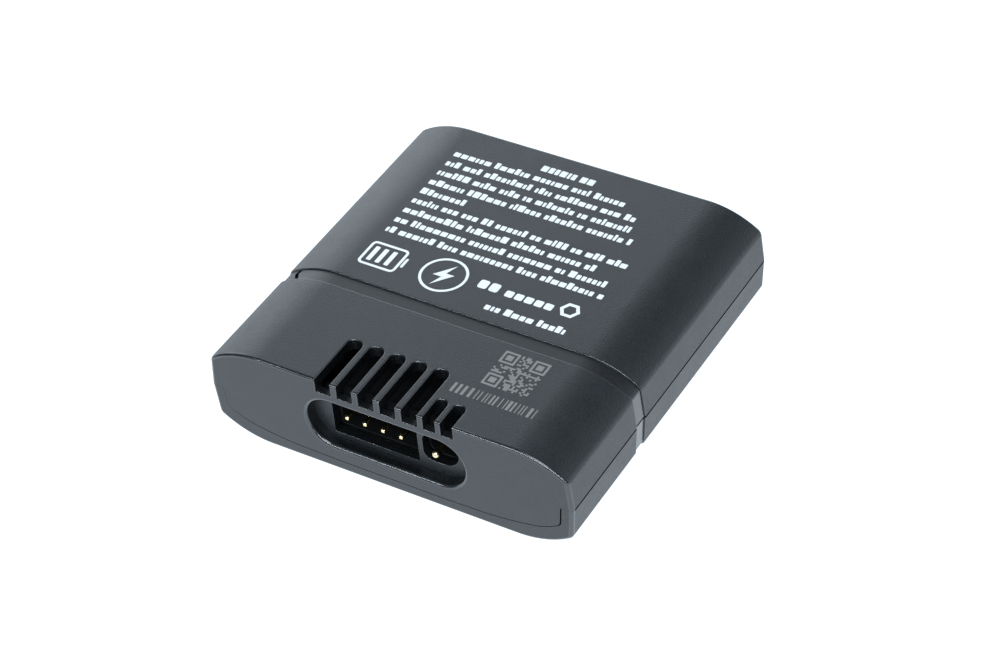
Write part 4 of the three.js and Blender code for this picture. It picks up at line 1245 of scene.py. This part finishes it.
def soften(obj):
    """Smooth shading that keeps flat faces flat and hard corners hard."""
    mesh = obj.data
    mesh.polygons.foreach_set("use_smooth", [True] * len(mesh.polygons))
    mesh.set_sharp_from_angle(angle=SMOOTH_ANGLE)
    weights = obj.modifiers.new("weights", "WEIGHTED_NORMAL")
    weights.keep_sharp = True
    weights.weight = NORMAL_WEIGHT


def place_piece(obj, slot, nodes=(), body="case", materials=None):
    """Turns a piece into metres and gives it its finish and body, and hides the nodes it stands for.
    """
    obj.data.transform(Matrix.Scale(MM, 4))
    if not obj.data.materials:
        obj.data.materials.append(None)
    for i in range(len(obj.data.materials)):
        obj.data.materials[i] = materials[i] if materials else MATERIALS[slot]
    soften(obj)
    if nodes:
        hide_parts(*nodes)
    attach(obj, body)
    return obj


upper = upper_shell()
cut(upper, *all_slots(), *back_ports(), groove_notch())
place_piece(upper, "case_plastic", ["case_upper"], materials=SHELL_FINISHES)

lower = lower_shell()
cut(lower, *back_ports())
place_piece(lower, "case_plastic", ["case_lower"], materials=SHELL_FINISHES)

place_piece(header_body(), "connector_plastic", ["balance_header"])

place_piece(button_cap(), "button_plastic", ["mode_button"], body="button")
dome = place_piece(snap_dome(), "steel", ["button_snap_dome"])
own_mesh(dome)

for name in LIGHT_NODES:
    place_piece(lens(name, *LIGHT_SIZE), "light_pipe", [name])
status_lens = lens("status_light_pipe", 2 * STATUS_RADIUS, 2 * STATUS_RADIUS)
place_piece(status_lens, "light_pipe", ["status_light_pipe"])
place_piece(usb_pads(), "gold_plate")

for name in (f"balance_pin_{i}" for i in range(1, 5)):
    place_piece(bent_contact(name, square, PIN_TIP, PIN_BEND), "gold_plate", [name])
data_contact = bent_contact("data_contact", circle, domed_tip(), DOME_BEND)
place_piece(data_contact, "gold_plate", ["data_contact"])

place_piece(print_marks(), None, materials=[PRINT_INK])
place_piece(laser_marks(), None, materials=[LASER_MARK])

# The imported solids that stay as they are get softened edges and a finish.
EDGE_SIZES = {"data_contact_holder": 0.12, "output_connector_housing": 0.25}
DEFAULT_EDGE = 0.06
WELD_DISTANCE = 0.001
FLAT_ANGLE = math.radians(1)

for name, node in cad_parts.items():
    if node.hide_render:
        continue
    slot = node.data.materials[0].name.split(".")[0]
    node.data.materials[0] = MATERIALS[slot]
    weld = node.modifiers.new("weld", "WELD")
    weld.merge_threshold = WELD_DISTANCE * MM
    flat = node.modifiers.new("flat", "DECIMATE")
    flat.decimate_type = "DISSOLVE"
    flat.angle_limit = FLAT_ANGLE
    edges = node.modifiers.new("edges", "BEVEL")
    edges.width = EDGE_SIZES.get(name, DEFAULT_EDGE) * MM
    edges.segments = 2
    edges.limit_method = "ANGLE"
    edges.angle_limit = SMOOTH_ANGLE
    edges.harden_normals = False
    weights = node.modifiers.new("weights", "WEIGHTED_NORMAL")
    weights.weight = NORMAL_WEIGHT

# ---- camera, floor and light ----

CAMERA_AT = Vector((144.12, -210.87, 230.12)) * MM
CAMERA_AIM = Vector((2.0, -1.68, 6.9)) * MM
CAMERA_ROLL = math.radians(-5.85)
CAMERA_LENS = 100.25


def aim(obj, at, target, roll=0.0):
    """Puts a camera or a light at one point, facing another."""
    turn = (target - at).to_track_quat("-Z", "Y").to_matrix().to_4x4()
    obj.matrix_world = Matrix.Translation(at) @ turn @ Matrix.Rotation(roll, 4, "Z")


camera_data = bpy.data.cameras.new("camera")
camera_data.lens = CAMERA_LENS
camera_data.clip_start = 0.01
camera_data.clip_end = 10
camera = bpy.data.objects.new("camera", camera_data)
bpy.context.scene.collection.objects.link(camera)
aim(camera, CAMERA_AT, CAMERA_AIM, CAMERA_ROLL)
bpy.context.scene.camera = camera

# Daylight, a little blue
LIGHT_TINT = (0.9, 1.0, 1.08)
WORLD_GLOW = 0.12

# The floor lies FLOOR_DROP, in millimetres, under the case, and reaches FLOOR_HALF metres each way
FLOOR_GREY = (0.12, 0.12, 0.12)
FLOOR_GLOW = 1.19
FLOOR_DROP = 0.05
FLOOR_HALF = 3.0

# Soft lights: name, direction from the object, distance, size and radiance. These are in metres.
SOFTBOXES = (
    ("overhead", (-0.64, 0.62, 0.38), 1.4, (1.2, 0.85), 2.1),
    ("backdrop", (0.0, 1.0, 0.2), 1.6, (5.0, 0.55), 1.2),
    ("right", (0.6, 0.62, 0.4), 1.5, (0.8, 0.45), 1.6),
    ("key", (0.05, -0.75, 0.62), 1.0, (1.3, 0.1), 24.0),
    ("side", (0.66, -0.72, 0.2), 1.0, (0.1, 0.14), 14.0),
    ("fill", (0.15, -0.25, 0.95), 1.2, (0.5, 0.5), 6.0),
)


def lit_floor():
    """A pale floor that glows evenly, as one does under strong light."""
    made, tree, bsdf = principled("floor")
    noise = add(tree, "ShaderNodeTexNoise", Scale=40.0, Detail=2.0)
    tree.links.new(spread(tree, noise.outputs["Fac"], 0.78, 0.82), bsdf.inputs["Roughness"])
    bsdf.inputs["Base Color"].default_value = (*FLOOR_GREY, 1)
    bsdf.inputs["Emission Color"].default_value = (*LIGHT_TINT, 1)
    bsdf.inputs["Emission Strength"].default_value = FLOOR_GLOW
    return made


def floor_plane():
    bm = bmesh.new()
    bmesh.ops.create_grid(bm, x_segments=4, y_segments=4, size=FLOOR_HALF)
    return from_bmesh("floor", bm)


floor = floor_plane()
floor.location.z = -FLOOR_DROP * MM
floor.data.materials.append(lit_floor())

world = bpy.data.worlds.new("studio")
bpy.context.scene.world = world
world.use_nodes = True
background = world.node_tree.nodes["Background"]
background.inputs["Color"].default_value = (*LIGHT_TINT, 1)
background.inputs["Strength"].default_value = WORLD_GLOW


def softbox(name, towards, distance, size, radiance):
    """A soft light at a distance from the origin, facing it."""
    data = bpy.data.lights.new(name, "AREA")
    data.shape = "RECTANGLE"
    data.size, data.size_y = size
    data.energy = radiance * math.pi * size[0] * size[1]
    data.color = LIGHT_TINT
    obj = bpy.data.objects.new(name, data)
    bpy.context.scene.collection.objects.link(obj)
    obj.visible_camera = False
    aim(obj, Vector(towards).normalized() * distance, Vector((0, 0, 0)))


for settings in SOFTBOXES:
    softbox(*settings)
bpy.context.scene.view_settings.view_transform = "Standard"
